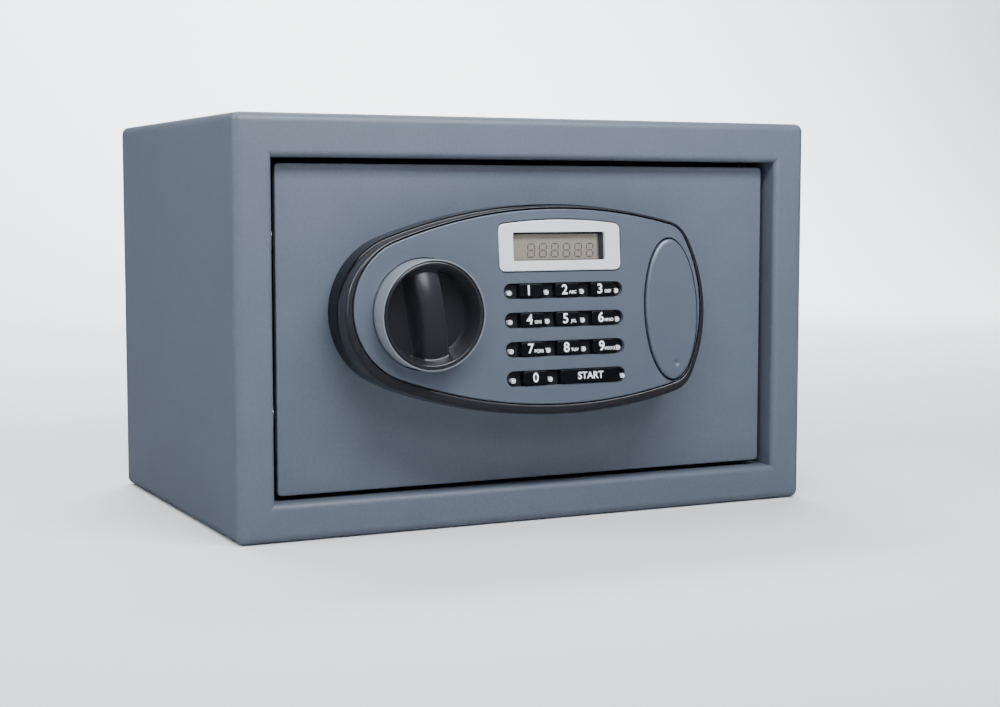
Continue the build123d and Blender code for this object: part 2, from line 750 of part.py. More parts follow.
# Lower tier of the panel: a wall with a deck across it
with BuildPart() as panel_base:
    with BuildSketch(facing(door_y)):
        add(face_outline(PANEL_EDGE, panel_z))
    extrude(amount=PANEL_STEP)
    fillet(panel_base.faces().sort_by(Axis.Y)[0].edges(), PANEL_EDGE_R)
    with BuildSketch(facing(door_y)):
        add(face_outline(PANEL_EDGE - PANEL_WALL, panel_z))
    extrude(amount=PANEL_STEP, mode=Mode.SUBTRACT)
    with BuildSketch(facing(deck_y + DECK_T)):
        add(face_outline(PANEL_EDGE - PANEL_WALL, panel_z))
    extrude(amount=DECK_T)
    with BuildSketch(facing(door_y)):
        with Locations(*panel_screw_spots):
            Circle(BOSS_R)
    extrude(amount=door_y - deck_y - DECK_T)
    with BuildSketch(facing(door_y)):
        with Locations(*panel_screw_spots):
            Circle(PANEL_SCREW_R)
    extrude(amount=PANEL_SCREW_DEPTH, mode=Mode.SUBTRACT)
    with BuildSketch(facing(deck_y + DECK_T)):
        with Locations((KNOB_X, knob_z)):
            Circle(bush_r)
        with Locations((LOCK_X, lock_z)):
            Circle(LOCK_R)
        with Locations(*lead_spots):
            Circle(LEAD_HOLE_R)
    extrude(amount=DECK_T, mode=Mode.SUBTRACT)
write(panel_base, "panel_base")

# Upper tier: a ring round the faceplate, with a ledge that carries the panel's insides
with BuildPart() as panel_bezel:
    with BuildSketch(face_depth(BEZEL_SINK)):
        add(face_outline(BEZEL_EDGE, FACE_SHIFT))
    extrude(amount=-PANEL_STAND)
    fillet(panel_bezel.faces().sort_by(Axis.Y)[0].edges(), BEZEL_BEAD_R)
    with BuildSketch(face_plane):
        add(face_outline(BEZEL_GROOVE, FACE_SHIFT))
    extrude(amount=-2 * PANEL_STAND, mode=Mode.SUBTRACT)
    with BuildSketch(face_depth(carrier_back + LEDGE_GAP)):
        add(face_outline(BEZEL_GROOVE, FACE_SHIFT))
    extrude(amount=-LEDGE_T)
    with BuildSketch(face_plane):
        add(face_outline(-LEDGE_IN, FACE_SHIFT))
    extrude(amount=-2 * PANEL_STAND, mode=Mode.SUBTRACT)
    split(bisect_by=facing(step_y), keep=Keep.TOP)
write(panel_bezel, "panel_bezel")

# Faceplate with its openings
key_rows = [key_top_z - row * KEY_ROW_PITCH for row in range(4)]
oval_middle = (OVAL_X, on_face(oval_z))
window_v = on_face(window_bottom) + WINDOW_H / 2
with BuildPart() as faceplate:
    with BuildSketch(face_plane):
        add(face_outline(0, FACE_SHIFT))
    extrude(amount=-FACE_T)
    fillet(faceplate.faces().sort_by(Axis.Y)[0].edges(), FACE_EDGE_R)
    with BuildSketch(face_plane) as face_holes:
        with Locations(*[(PILL_X, on_face(z)) for z in key_rows]):
            SlotOverall(PILL_W, PILL_H)
        with Locations(oval_middle):
            Ellipse(OVAL_W / 2 + OVAL_GAP, OVAL_H / 2 + OVAL_GAP)
    extrude(amount=-FACE_T, mode=Mode.SUBTRACT)
    with BuildSketch(face_plane) as lcd_hole:
        lcd_outline()
        fillet(lcd_hole.vertices(), LCD_CORNER_R)
        offset(amount=LCD_GROOVE)
    extrude(amount=-FACE_T, mode=Mode.SUBTRACT)
    with BuildSketch(facing(deck_y)):
        with Locations((KNOB_X, knob_z)):
            Circle(KNOB_R + KNOB_GAP)
    extrude(amount=deck_y - knob_front_y, mode=Mode.SUBTRACT)
write(faceplate, "faceplate")

# Carrier behind the faceplate, with posts for the circuit board
key_spots = []
for row, z in enumerate(key_rows[:3]):
    for column in range(3):
        number = 3 * row + column + 1
        key_spots.append((f"key_{number}", KEY_MIDDLE_X + (column - 1) * KEY_PITCH, z, KEY_W))
key_spots.append(("key_0", ZERO_X, key_rows[3], KEY_W))
key_spots.append(("key_start", START_X, key_rows[3], START_W))
dot_spots = [(x, on_face(z - DOT_DROP)) for z in key_rows[:3] for x in DOT_X]
dot_spots += [(x, on_face(key_rows[3] - DOT_DROP)) for x in LAST_ROW_DOT_X]
board_x = (BOARD_LEFT + BOARD_RIGHT) / 2
board_v = (on_face(board_bottom) + on_face(board_top)) / 2
board_w = BOARD_RIGHT - BOARD_LEFT
board_h = on_face(board_top) - on_face(board_bottom)
with BuildPart() as panel_carrier:
    with BuildSketch(face_depth(carrier_depth)):
        add(face_outline(BEZEL_GROOVE - CARRIER_GAP, FACE_SHIFT))
        with Locations(oval_middle):
            Ellipse(OVAL_W / 2 - OVAL_LEDGE, OVAL_H / 2 - OVAL_LEDGE, mode=Mode.SUBTRACT)
        with Locations((WINDOW_X, window_v)):
            Rectangle(LCD_GLASS_W + 2 * LCD_FIT, LCD_GLASS_H + 2 * LCD_FIT, mode=Mode.SUBTRACT)
        for label, x, z, width in key_spots:
            with Locations((x, on_face(z))):
                hole_w = width + 2 * KEY_FIT
                RectangleRounded(hole_w, KEY_H + 2 * KEY_FIT, KEY_R, mode=Mode.SUBTRACT)
        with Locations(*dot_spots):
            Circle(DOT_R, mode=Mode.SUBTRACT)
    extrude(amount=-CARRIER_T)
    with BuildSketch(face_depth(carrier_back)):
        with Locations((board_x, board_v)):
            with GridLocations(board_w - 2 * BOARD_POST_INSET, board_h - 2 * BOARD_POST_INSET, 2, 2):
                Circle(BOARD_POST_R)
    extrude(amount=-(board_depth - carrier_back))
    with BuildSketch(facing(deck_y)):
        with Locations((KNOB_X, knob_z)):
            Circle(KNOB_R + KNOB_GAP)
    extrude(amount=deck_y - knob_front_y, mode=Mode.SUBTRACT)
write(panel_carrier, "panel_carrier")

with BuildPart() as key_row_studs:
    with BuildSketch(face_plane.offset(DOT_PROUD)):
        with Locations(*dot_spots):
            Circle(DOT_R)
    extrude(amount=-(DOT_PROUD + carrier_back))
write(key_row_studs, "key_row_studs")

# Display: bezel, window and module
with BuildPart() as lcd_bezel:
    with BuildSketch(face_depth(carrier_depth)) as lcd_shape:
        lcd_outline()
        fillet(lcd_shape.vertices(), LCD_CORNER_R)
    extrude(amount=carrier_depth + LCD_PROUD)
    fillet(lcd_bezel.faces().sort_by(Axis.Y)[0].edges(), LCD_PROUD)
    with BuildSketch(face_depth(carrier_depth)):
        with Locations((WINDOW_X, window_v)):
            RectangleRounded(WINDOW_W, WINDOW_H, WINDOW_R)
    extrude(amount=carrier_depth + LCD_PROUD, mode=Mode.SUBTRACT)
write(lcd_bezel, "lcd_bezel")

with BuildPart() as lcd_lens:
    with BuildSketch(face_depth(carrier_depth)):
        with Locations((WINDOW_X, window_v)):
            RectangleRounded(WINDOW_W - 2 * LENS_GAP, WINDOW_H - 2 * LENS_GAP, WINDOW_R)
    extrude(amount=LENS_T)
write(lcd_lens, "lcd_lens")

with BuildPart() as lcd_module:
    with BuildSketch(face_depth(carrier_depth + LENS_GAP)):
        with Locations((WINDOW_X, window_v)):
            Rectangle(LCD_GLASS_W, LCD_GLASS_H)
    extrude(amount=-(board_depth - carrier_depth - LENS_GAP))
write(lcd_module, "lcd_module")

# Keys, each with a flange under the carrier
for label, x, z, width in key_spots:
    with BuildPart() as key:
        with BuildSketch(face_depth(-KEY_PROUD)):
            with Locations((x, on_face(z))):
                RectangleRounded(width, KEY_H, KEY_R)
        extrude(amount=-(KEY_PROUD + flange_depth))
        fillet(key.faces().sort_by(Axis.Y)[0].edges(), KEY_STEP_R)
        with BuildSketch(face_depth(flange_depth)):
            with Locations((x, on_face(z))):
                RectangleRounded(width + 2 * KEY_FLANGE, KEY_H + 2 * KEY_FLANGE, KEY_R)
        extrude(amount=-KEY_FLANGE_T)
    write(key, label)

mat_rows = (key_rows[0] + key_rows[3]) / 2
with BuildPart() as keypad_mat:
    with BuildSketch(face_depth(mat_depth)):
        with Locations((KEY_MIDDLE_X, on_face(mat_rows))):
            Rectangle(KEYPAD_MAT_W, key_rows[0] - key_rows[3] + KEY_ROW_PITCH)
    extrude(amount=-KEYPAD_MAT_T)
write(keypad_mat, "keypad_mat")

with BuildPart() as circuit_board:
    with BuildSketch(face_depth(board_depth)):
        with Locations((board_x, board_v)):
            Rectangle(board_w, board_h)
    extrude(amount=-BOARD_T)
write(circuit_board, "circuit_board")

# Oval cover with a skirt that grips the carrier's opening
skirt_edge = OVAL_LEDGE + OVAL_FIT
with BuildPart() as oval_cover:
    with BuildSketch(face_plane.offset(OVAL_PROUD)):
        with Locations(oval_middle):
            Ellipse(OVAL_W / 2, OVAL_H / 2)
    extrude(amount=-(OVAL_PROUD + carrier_depth - OVAL_FIT))
    fillet(oval_cover.faces().sort_by(Axis.Y)[0].edges(), OVAL_EDGE_R)
    with BuildSketch(face_depth(carrier_depth - OVAL_FIT)):
        with Locations(oval_middle):
            Ellipse(OVAL_W / 2 - skirt_edge, OVAL_H / 2 - skirt_edge)
            skirt_in = skirt_edge + OVAL_SKIRT_T
            Ellipse(OVAL_W / 2 - skirt_in, OVAL_H / 2 - skirt_in, mode=Mode.SUBTRACT)
    extrude(amount=-OVAL_SKIRT)
    with BuildSketch(face_plane.offset(OVAL_PROUD)):
        with Locations((DIMPLE_X, on_face(dimple_z))):
            Circle(DIMPLE_R)
    extrude(amount=-DIMPLE_DEPTH, mode=Mode.SUBTRACT)
write(oval_cover, "oval_cover")

# Knob: grip with two finger pockets inside a silver ring
grip_plane = facing(grip_front_y)
with BuildPart() as knob_grip:
    with BuildSketch(grip_plane):
        with Locations((KNOB_X, knob_z)):
            Circle(KNOB_R - KNOB_RIM)
    extrude(amount=-GRIP_T)
    with BuildSketch(grip_plane):
        with Locations((KNOB_X, knob_z)):
            Circle(POCKET_R)
            Rectangle(GRIP_BAR, 2 * KNOB_R, rotation=GRIP_TILT, mode=Mode.SUBTRACT)
    extrude(amount=-POCKET_DEPTH, taper=POCKET_DRAFT, mode=Mode.SUBTRACT)
    with BuildSketch(facing(grip_back_y)):
        with Locations((KNOB_X, knob_z)):
            Circle(SHAFT_R)
    extrude(amount=SHAFT_IN_GRIP, mode=Mode.SUBTRACT)
write(knob_grip, "knob_grip")

with BuildPart() as knob_ring:
    with BuildSketch(facing(knob_front_y)):
        with Locations((KNOB_X, knob_z)):
            Circle(KNOB_R)
    extrude(amount=-(grip_back_y - knob_front_y))
    fillet(knob_ring.faces().sort_by(Axis.Y)[0].edges(), KNOB_RIM_R)
    with BuildSketch(facing(knob_front_y)):
        with Locations((KNOB_X, knob_z)):
            Circle(KNOB_R - KNOB_RIM)
    extrude(amount=-(grip_back_y - knob_front_y), mode=Mode.SUBTRACT)
write(knob_ring, "knob_ring")

shaft_end_y = clip_y + CLIP_T + SHAFT_PAST
with BuildPart() as knob_shaft:
    with BuildSketch(facing(shaft_end_y)):
        with Locations((KNOB_X, knob_z)):
            Circle(SHAFT_R)
    extrude(amount=shaft_end_y - grip_back_y + SHAFT_IN_GRIP)
write(knob_shaft, "knob_shaft")

with BuildPart() as shaft_bush:
    with BuildSketch(facing(deck_y)):
        with Locations((KNOB_X, knob_z)):
            Circle(bush_r)
            Circle(SHAFT_R + SHAFT_FIT, mode=Mode.SUBTRACT)
    extrude(amount=-(plate_back_y - deck_y))
write(shaft_bush, "shaft_bush")

with BuildPart() as crank_disc:
    with BuildSketch(facing(crank_y)):
        with Locations((KNOB_X, knob_z)):
            Circle(CRANK_R)
            Circle(SHAFT_R, mode=Mode.SUBTRACT)
        with Locations((pin_x, pin_z)):
            Circle(CRANK_PIN_R, mode=Mode.SUBTRACT)
    extrude(amount=-CRANK_T)
write(crank_disc, "crank_disc")

pin_end_y = web_y + WEB_T + BOLT_GAP
with BuildPart() as crank_pin:
    with BuildSketch(facing(pin_end_y)):
        with Locations((pin_x, pin_z)):
            Circle(CRANK_PIN_R)
    extrude(amount=pin_end_y - crank_y)
write(crank_pin, "crank_pin")

with BuildPart() as shaft_clip:
    with BuildSketch(facing(clip_y)):
        with Locations((KNOB_X, knob_z)):
            Circle(CLIP_R)
            Circle(SHAFT_R, mode=Mode.SUBTRACT)
    extrude(amount=-CLIP_T)
write(shaft_clip, "shaft_clip")

# Bolt plate: a web across the door, folded at its left end to carry the bolts
flange_h = bolt_z[1] - bolt_z[0] + 2 * WEB_FLANGE_OVER
with BuildPart() as bolt_plate:
    with BuildSketch(facing(web_y)):
        with Locations((flange_x, web_bottom)):
            Rectangle(WEB_RIGHT - flange_x, web_top - web_bottom, align=(Align.MIN, Align.MIN))
        with Locations((tooth_x, web_bottom)):
            Rectangle(TOOTH_W, tooth_top - web_bottom, align=(Align.CENTER, Align.MIN))
        with Locations((pin_x, slot_z)):
            SlotOverall(CRANK_SLOT_L, CRANK_SLOT_W, rotation=90, mode=Mode.SUBTRACT)
        with Locations(*[(x + BOLT_TRAVEL / 2, z) for x, z in guide_spots]):
            guide_slot = 2 * (GUIDE_R + GUIDE_FIT)
            SlotOverall(BOLT_TRAVEL + guide_slot, guide_slot, mode=Mode.SUBTRACT)
    extrude(amount=-WEB_T)
    with BuildSketch(along_x(flange_x)):
        with Locations((web_y, pan_z)):
            Rectangle(WEB_FLANGE, flange_h, align=(Align.MIN, Align.CENTER))
        with Locations(*[(bolt_y, z) for z in bolt_z]):
            Circle(BOLT_SCREW_R, mode=Mode.SUBTRACT)
    extrude(amount=WEB_T)
write(bolt_plate, "bolt_plate")

with BuildPart() as locking_bolts:
    with BuildSketch(along_x(flange_x)):
        with Locations(*[(bolt_y, z) for z in bolt_z]):
            Circle(BOLT_R)
    extrude(amount=-BOLT_LENGTH)
    fillet(locking_bolts.faces().sort_by(Axis.X)[:2].edges(), BOLT_TIP_R)
    with BuildSketch(along_x(flange_x)):
        with Locations(*[(bolt_y, z) for z in bolt_z]):
            Circle(BOLT_SCREW_R)
    extrude(amount=-BOLT_SCREW_DEPTH, mode=Mode.SUBTRACT)
write(locking_bolts, "locking_bolts")

with BuildPart() as bolt_screws:
    with BuildSketch(along_x(flange_x + WEB_T)):
        with Locations(*[(bolt_y, z) for z in bolt_z]):
            RegularPolygon(BOLT_HEAD_R, 6)
    extrude(amount=BOLT_HEAD_T)
    with BuildSketch(along_x(flange_x + WEB_T)):
        with Locations(*[(bolt_y, z) for z in bolt_z]):
            Circle(BOLT_SCREW_R)
    extrude(amount=-(WEB_T + BOLT_SCREW_DEPTH))
write(bolt_screws, "bolt_screws")

head_y = web_y + WEB_T + GUIDE_FIT
with BuildPart() as bolt_guides:
    with BuildSketch(facing(head_y)):
        with Locations(*guide_spots):
            Circle(GUIDE_HEAD_R)
    extrude(amount=-GUIDE_HEAD_T)
    with BuildSketch(facing(head_y)):
        with Locations(*guide_spots):
            Circle(GUIDE_R)
    extrude(amount=head_y - door_y)
write(bolt_guides, "bolt_guides")

# Solenoid on the back of the door plate, with its plunger hanging out below
solenoid_d = 2 * (plunger_y - plate_back_y)
coil_r = solenoid_d / 2 - SOLENOID_WALL - COIL_GAP
coil_bore_r = PLUNGER_R + PLUNGER_FIT
with BuildPart() as solenoid_frame:
    with BuildSketch(Plane.XY.offset(solenoid_z)):
        with Locations((plunger_x, plunger_y)):
            Rectangle(SOLENOID_W, solenoid_d)
    extrude(amount=solenoid_h)
    with BuildSketch(along_x(plunger_x - SOLENOID_W / 2)):
        with Locations((plunger_y, solenoid_z + solenoid_h / 2)):
            Rectangle(solenoid_d - 2 * SOLENOID_WALL, solenoid_h - 2 * SOLENOID_WALL)
    extrude(amount=SOLENOID_W, mode=Mode.SUBTRACT)
    with BuildSketch(Plane.XY.offset(solenoid_z)):
        with Locations((plunger_x, plunger_y)):
            Circle(coil_bore_r)
    extrude(amount=SOLENOID_WALL, mode=Mode.SUBTRACT)
write(solenoid_frame, "solenoid_frame")

with BuildPart() as solenoid_coil:
    with BuildSketch(Plane.XY.offset(solenoid_z + SOLENOID_WALL)):
        with Locations((plunger_x, plunger_y)):
            Circle(coil_r)
            Circle(coil_bore_r, mode=Mode.SUBTRACT)
    extrude(amount=solenoid_h - 2 * SOLENOID_WALL)
write(solenoid_coil, "solenoid_coil")

plunger_l = solenoid_z + solenoid_h - SOLENOID_WALL - PLUNGER_FIT - plunger_tip_z
with BuildPart() as solenoid_plunger:
    with BuildSketch(Plane.XY.offset(plunger_tip_z)):
        with Locations((plunger_x, plunger_y)):
            Circle(PLUNGER_R)
    extrude(amount=plunger_l)
    with BuildSketch(Plane.XY.offset(collar_z)):
        with Locations((plunger_x, plunger_y)):
            Circle(COLLAR_R)
    extrude(amount=COLLAR_T)
write(solenoid_plunger, "solenoid_plunger")

# Override lock: body through the deck and the plate, nut, plug and cam
lock_front_y = deck_y - LOCK_FLANGE_T
with BuildPart() as lock_body:
    with BuildSketch(facing(deck_y)):
        with Locations((LOCK_X, lock_z)):
            Circle(LOCK_FLANGE_R)
    extrude(amount=LOCK_FLANGE_T)
    with BuildSketch(facing(deck_y)):
        with Locations((LOCK_X, lock_z)):
            Circle(LOCK_R)
    extrude(amount=-(lock_end_y - deck_y))
    with BuildSketch(facing(lock_front_y)):
        with Locations((LOCK_X, lock_z)):
            Circle(LOCK_PLUG_R + LOCK_FIT)
    extrude(amount=-(lock_end_y - lock_front_y), mode=Mode.SUBTRACT)
write(lock_body, "lock_body")

with BuildPart() as lock_nut:
    with BuildSketch(facing(plate_back_y)):
        with Locations((LOCK_X, lock_z)):
            RegularPolygon(LOCK_NUT_R, 6)
            Circle(LOCK_R, mode=Mode.SUBTRACT)
    extrude(amount=-LOCK_NUT_T)
write(lock_nut, "lock_nut")

cam_end_y = cam_y + CAM_T
with BuildPart() as lock_plug:
    with BuildSketch(facing(lock_front_y)):
        with Locations((LOCK_X, lock_z)):
            Circle(LOCK_PLUG_R)
    extrude(amount=-(cam_end_y - lock_front_y))
    with BuildSketch(facing(lock_front_y)):
        with Locations((LOCK_X, lock_z)):
            Circle(KEYWAY_R)
            Circle(KEYWAY_PIN_R, mode=Mode.SUBTRACT)
    extrude(amount=-KEYWAY_DEPTH, mode=Mode.SUBTRACT)
write(lock_plug, "lock_plug")

cam_turn = math.radians(cam_rest)
cam_middle = (LOCK_X + cam_reach / 2 * math.cos(cam_turn), lock_z + cam_reach / 2 * math.sin(cam_turn))
with BuildPart() as lock_cam:
    with BuildSketch(facing(cam_y)):
        with Locations(cam_middle):
            SlotCenterToCenter(cam_reach, CAM_W, rotation=cam_rest)
        with Locations((LOCK_X, lock_z)):
            Circle(LOCK_PLUG_R + CAM_T)
            Circle(LOCK_PLUG_R, mode=Mode.SUBTRACT)
    extrude(amount=-CAM_T)
write(lock_cam, "lock_cam")

with BuildPart() as external_contacts:
    with BuildSketch(facing(deck_y)):
        with Locations((LOCK_X, contact_z)):
            with GridLocations(CONTACT_PITCH, 0, 2, 1):
                Circle(CONTACT_R)
    extrude(amount=CONTACT_H)
write(external_contacts, "external_contacts")

with BuildPart() as panel_screws:
    with BuildSketch(facing(plate_back_y)):
        with Locations(*panel_screw_spots):
            Circle(PANEL_HEAD_R)
    extrude(amount=-PANEL_HEAD_T)
    with BuildSketch(facing(plate_back_y)):
        with Locations(*panel_screw_spots):
            Circle(PANEL_SCREW_R)
    extrude(amount=DOOR_T + PANEL_SCREW_DEPTH)
write(panel_screws, "panel_screws")

# Leads from the circuit board to the battery box and the solenoid
board_back = (board_depth + BOARD_T) / math.cos(tilt)
with BuildPart() as wiring_leads:
    for (x, z), end_y in zip(lead_spots, (battery_floor_y, plate_back_y)):
        start_y = face_y + (z + LEAD_R - panel_z) * math.tan(tilt) + board_back
        with BuildSketch(facing(end_y)):
            with Locations((x, z)):
                Circle(LEAD_R)
        extrude(amount=end_y - start_y)
write(wiring_leads, "wiring_leads")
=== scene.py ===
"""Electronic safe: finishes, moulded panel, knob, keys and display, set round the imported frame."""

import math

import bmesh
import bpy
import numpy as np
from bpy.props import FloatProperty, FloatVectorProperty, PointerProperty
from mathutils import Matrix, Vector


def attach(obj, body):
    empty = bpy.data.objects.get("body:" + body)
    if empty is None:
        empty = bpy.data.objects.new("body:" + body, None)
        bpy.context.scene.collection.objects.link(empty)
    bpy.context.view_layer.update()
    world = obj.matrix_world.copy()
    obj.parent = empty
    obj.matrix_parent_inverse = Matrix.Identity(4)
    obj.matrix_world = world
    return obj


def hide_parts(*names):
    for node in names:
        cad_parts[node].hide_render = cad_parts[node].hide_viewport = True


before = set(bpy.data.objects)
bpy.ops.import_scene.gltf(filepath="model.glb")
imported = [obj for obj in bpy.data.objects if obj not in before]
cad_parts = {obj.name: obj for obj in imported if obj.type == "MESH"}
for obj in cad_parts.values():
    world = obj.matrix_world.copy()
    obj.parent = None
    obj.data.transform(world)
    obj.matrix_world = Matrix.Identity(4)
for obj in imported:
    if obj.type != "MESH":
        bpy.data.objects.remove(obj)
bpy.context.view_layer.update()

bl_info = {
    "name": "Electronic safe",
    "version": (1, 0, 0),
    "blender": (4, 5, 0),
    "location": "3D View > Sidebar > Safe",
    "description": "Dresses the steel safe with its finishes, panel, knob, keys and display",
    "category": "Add Mesh",
}

MM = 0.001

# Leaning face of the panel: a point on it, and the way up, across and out of it
TILT = math.radians(4.574)
FACE_POINT = np.array((0, -116, 105)) * MM
FACE_UP = np.array((0, math.sin(TILT), math.cos(TILT)))
FACE_OUT = np.array((0, -math.cos(TILT), math.sin(TILT)))

# Faceplate's outline: middle line, and arcs that touch each other
OUTLINE_MIDDLE = 1.57 * MM
LEFT_X = -70.44 * MM
LEFT_R = 33.77 * MM
RIGHT_X = 10.32 * MM
RIGHT_R = 70.69 * MM
LONG_X = 3.11 * MM
LONG_R = 247.55 * MM
CORNER_R = 12 * MM

# Upright front of the panel's base, where the bezel's walls end
STEP_Y = -104.5 * MM
BEZEL_LIP = 0.3 * MM
BEZEL_STEPS = 22

# Knob's grip: its axis, its disc, the bar's form and the fineness of the mesh
KNOB_X = -68.9 * MM
KNOB_Z = 104.7 * MM
GRIP_RADIUS = 25.2 * MM
GRIP_FRONT = -126.8 * MM
GRIP_BACK = -112 * MM
GRIP_SPREAD = 0.1
GRIP_CROWN = 0.7 * MM
RIM_DROP = 0.6 * MM
RIM_WIDTH = 1.2 * MM
GRIP_FINE_FROM = 0.8
GRIP_INNER_RINGS = 70
GRIP_OUTER_RINGS = 44
GRIP_SPOKES = 320

# Oval cover: rounded edge, hidden wall, dimple and the fineness of the mesh
COVER_ROUND = 1.2 * MM
COVER_BACK = 1.6 * MM
DIMPLE_DEPTH = 0.9 * MM
DIMPLE_SPREAD = 1.3 * MM
COVER_RINGS = 59
COVER_STEPS = 14
COVER_SPOKES = 240

# Painted shadow inside the display window, a flat black band where shade falls on the window's inner
# walls: its widths and how deep its two faces lie
SHADE_THIN = 0.4 * MM
SHADE_TOP = 0.9 * MM
SHADE_FRONT = 1.25 * MM
SHADE_BACK = 1.45 * MM

# Tracks of the circuit board, to the metre
TRACKS_ACROSS = 400
TRACKS_UP = 300

# Printing on the keys
PRINT_LIFT = 0.01 * MM
NUMBER_SIZE = 6.6 * MM
NUMBER_LEFT = 1.6 * MM
ZERO_SIZE = 6.2 * MM
ZERO_X = -13 * MM
LETTER_SIZE = 2.1 * MM
LETTER_RIGHT = 2.8 * MM
LETTER_DROP = 1.1 * MM
START_SIZE = 4.8 * MM
START_X = 16.9 * MM

# Display figures, as shares of a figure's width, and their thickness
FIGURES = 6
FIGURE_TALL = 1.75
BAR_SHARE = 0.17
GAP_SHARE = 0.05
FIGURE_SLANT = 0.07
FIGURE_THICK = 0.04 * MM


# Camera fitted to the photograph, and the floor that sweeps up behind
CAMERA_PLACE = np.array((-392.7, -854.5, 157.1)) * MM
CAMERA_YAW = math.radians(26.13)
CAMERA_PITCH = math.radians(5.01)
CAMERA_LENS = 62.75
SENSOR_WIDTH = 36
FLOOR_HALF = 5.0
FLOOR_NEAR = -5.0
FLOOR_FAR = 1.3
FLOOR_BEND = 0.7
FLOOR_WALL = 3.2
FLOOR_DROP = 0.2 * MM
FLOOR_STEPS = 24


def lin(red, green, blue):
    """Linear colour of a screen colour given from 0 to 255."""
    screen = np.array((red, green, blue)) / 255
    low = screen / 12.92
    high = ((screen + 0.055) / 1.055) ** 2.4
    return tuple(float(v) for v in np.where(screen < 0.04045, low, high))


class Level:
    """A shader value that takes part in sums as a number does."""

    def __init__(self, graph, socket):
        self.graph = graph
        self.socket = socket

    def math(self, operation, *values):
        """Value of a Math node that works on the values given."""
        sockets = dict(enumerate(values))
        return self.graph.node("ShaderNodeMath", {"operation": operation}, sockets)

    def __add__(self, other):
        return self.math("ADD", self, other)

    def __radd__(self, other):
        return self.math("ADD", other, self)

    def __sub__(self, other):
        return self.math("SUBTRACT", self, other)

    def __rsub__(self, other):
        return self.math("SUBTRACT", other, self)

    def __mul__(self, other):
        return self.math("MULTIPLY", self, other)

    def __rmul__(self, other):
        return self.math("MULTIPLY", other, self)

    def __abs__(self):
        return self.math("ABSOLUTE", self)

    def fraction(self):
        """What is left of this value past its whole number."""
        return self.math("FRACT", self)

    def under(self, other):
        """One where this value is less than the other."""
        return self.math("LESS_THAN", self, other)

    def most(self, other):
        """The greater of this value and the other."""
        return self.math("MAXIMUM", self, other)


class Finish:
    """One material's node graph."""

    def __init__(self, name):
        self.material = bpy.data.materials.new(name)
        self.material.use_nodes = True
        self.tree = self.material.node_tree
        self.tree.nodes.clear()

    def node(self, kind, settings=None, sockets=None, out=0):
        """Add a node, make its settings, then its sockets, and give one of its outputs."""
        made = self.tree.nodes.new(kind)
        for key, value in (settings or {}).items():
            setattr(made, key, value)
        for key, value in (sockets or {}).items():
            if isinstance(value, Level):
                self.tree.links.new(value.socket, made.inputs[key])
            else:
                made.inputs[key].default_value = value
        return Level(self, made.outputs[out])

    def place(self):
        """The point on the piece, in metres."""
        return self.node("ShaderNodeTexCoord", out="Object")

    def axes(self):
        """The point's three coordinates as separate values."""
        point = self.place()
        split = self.tree.nodes.new("ShaderNodeSeparateXYZ")
        self.tree.links.new(point.socket, split.inputs[0])
        return [Level(self, split.outputs[i]) for i in range(3)]

    def noise(self, scale, detail=2.0, rough=0.5, stretch=(1, 1, 1)):
        """Noise of about 1/scale metres a grain, drawn out along an axis by a small stretch."""
        vector = self.node("ShaderNodeMapping", {}, {0: self.place(), 3: stretch})
        sockets = {"Vector": vector, "Scale": scale, "Detail": detail, "Roughness": rough}
        return self.node("ShaderNodeTexNoise", {}, sockets)

    def tint(self, factor, first, second):
        """Colour between two colours."""
        sockets = {0: factor, 6: self.colour(first), 7: self.colour(second)}
        return self.node("ShaderNodeMix", {"data_type": "RGBA"}, sockets, out=2)

    @staticmethod
    def colour(value):
        """A value as it is, or a plain colour with its fourth channel."""
        return value if isinstance(value, Level) else (*value[:3], 1.0)

    def bump(self, height, distance, strength=1.0):
        """Surface normal tipped by a height."""
        sockets = {"Height": height, "Distance": distance, "Strength": strength}
        return self.node("ShaderNodeBump", {}, sockets)

    def finish(self, colour, roughness, normal=None, **fixed):
        """Close the graph with one surface shader; fixed values are set on its own sockets."""
        sockets = {"Base Color": self.colour(colour), "Roughness": roughness}
        if normal is not None:
            sockets["Normal"] = normal
        for key, value in fixed.items():
            sockets[key.replace("_", " ").title().replace("Ior", "IOR")] = value
        shader = self.node("ShaderNodeBsdfPrincipled", {}, sockets)
        self.node_output(shader)
        return self.material

    def node_output(self, shader):
        """Link a shader to the material's output."""
        output = self.tree.nodes.new("ShaderNodeOutputMaterial")
        self.tree.links.new(shader.socket, output.inputs[0])


def powder_coat(name, colour, grain=1.0):
    """Fine orange-peel powder coat with a faint mottle."""
    f = Finish(name)
    fine = f.noise(1500, 3, 0.6)
    broad = f.noise(45, 2, 0.5)
    speck = f.noise(620, 2, 0.5)
    light = tuple(min(1.0, c * 1.18) for c in colour)
    dark = tuple(c * 0.82 for c in colour)
    tone = f.tint(broad * 0.35 + speck * 0.65, dark, light)
    normal = f.bump(fine * 0.5 + speck * 0.5, 0.0002 * grain, 0.7)
    return f.finish(tone, 0.44 + broad * 0.1, normal)


def satin_lacquer(name, colour, roughness=0.36, metallic=0.35):
    """Metallic lacquer with very fine flake."""
    f = Finish(name)
    flake = f.noise(2600, 1, 0.5)
    broad = f.noise(60, 2, 0.5)
    light = tuple(min(1.0, c * 1.12) for c in colour)
    dark = tuple(c * 0.9 for c in colour)
    tone = f.tint(flake * 0.5 + broad * 0.5, dark, light)
    normal = f.bump(flake, 0.00003, 0.4)
    return f.finish(tone, roughness - 0.05 + flake * 0.1, normal, metallic=metallic)


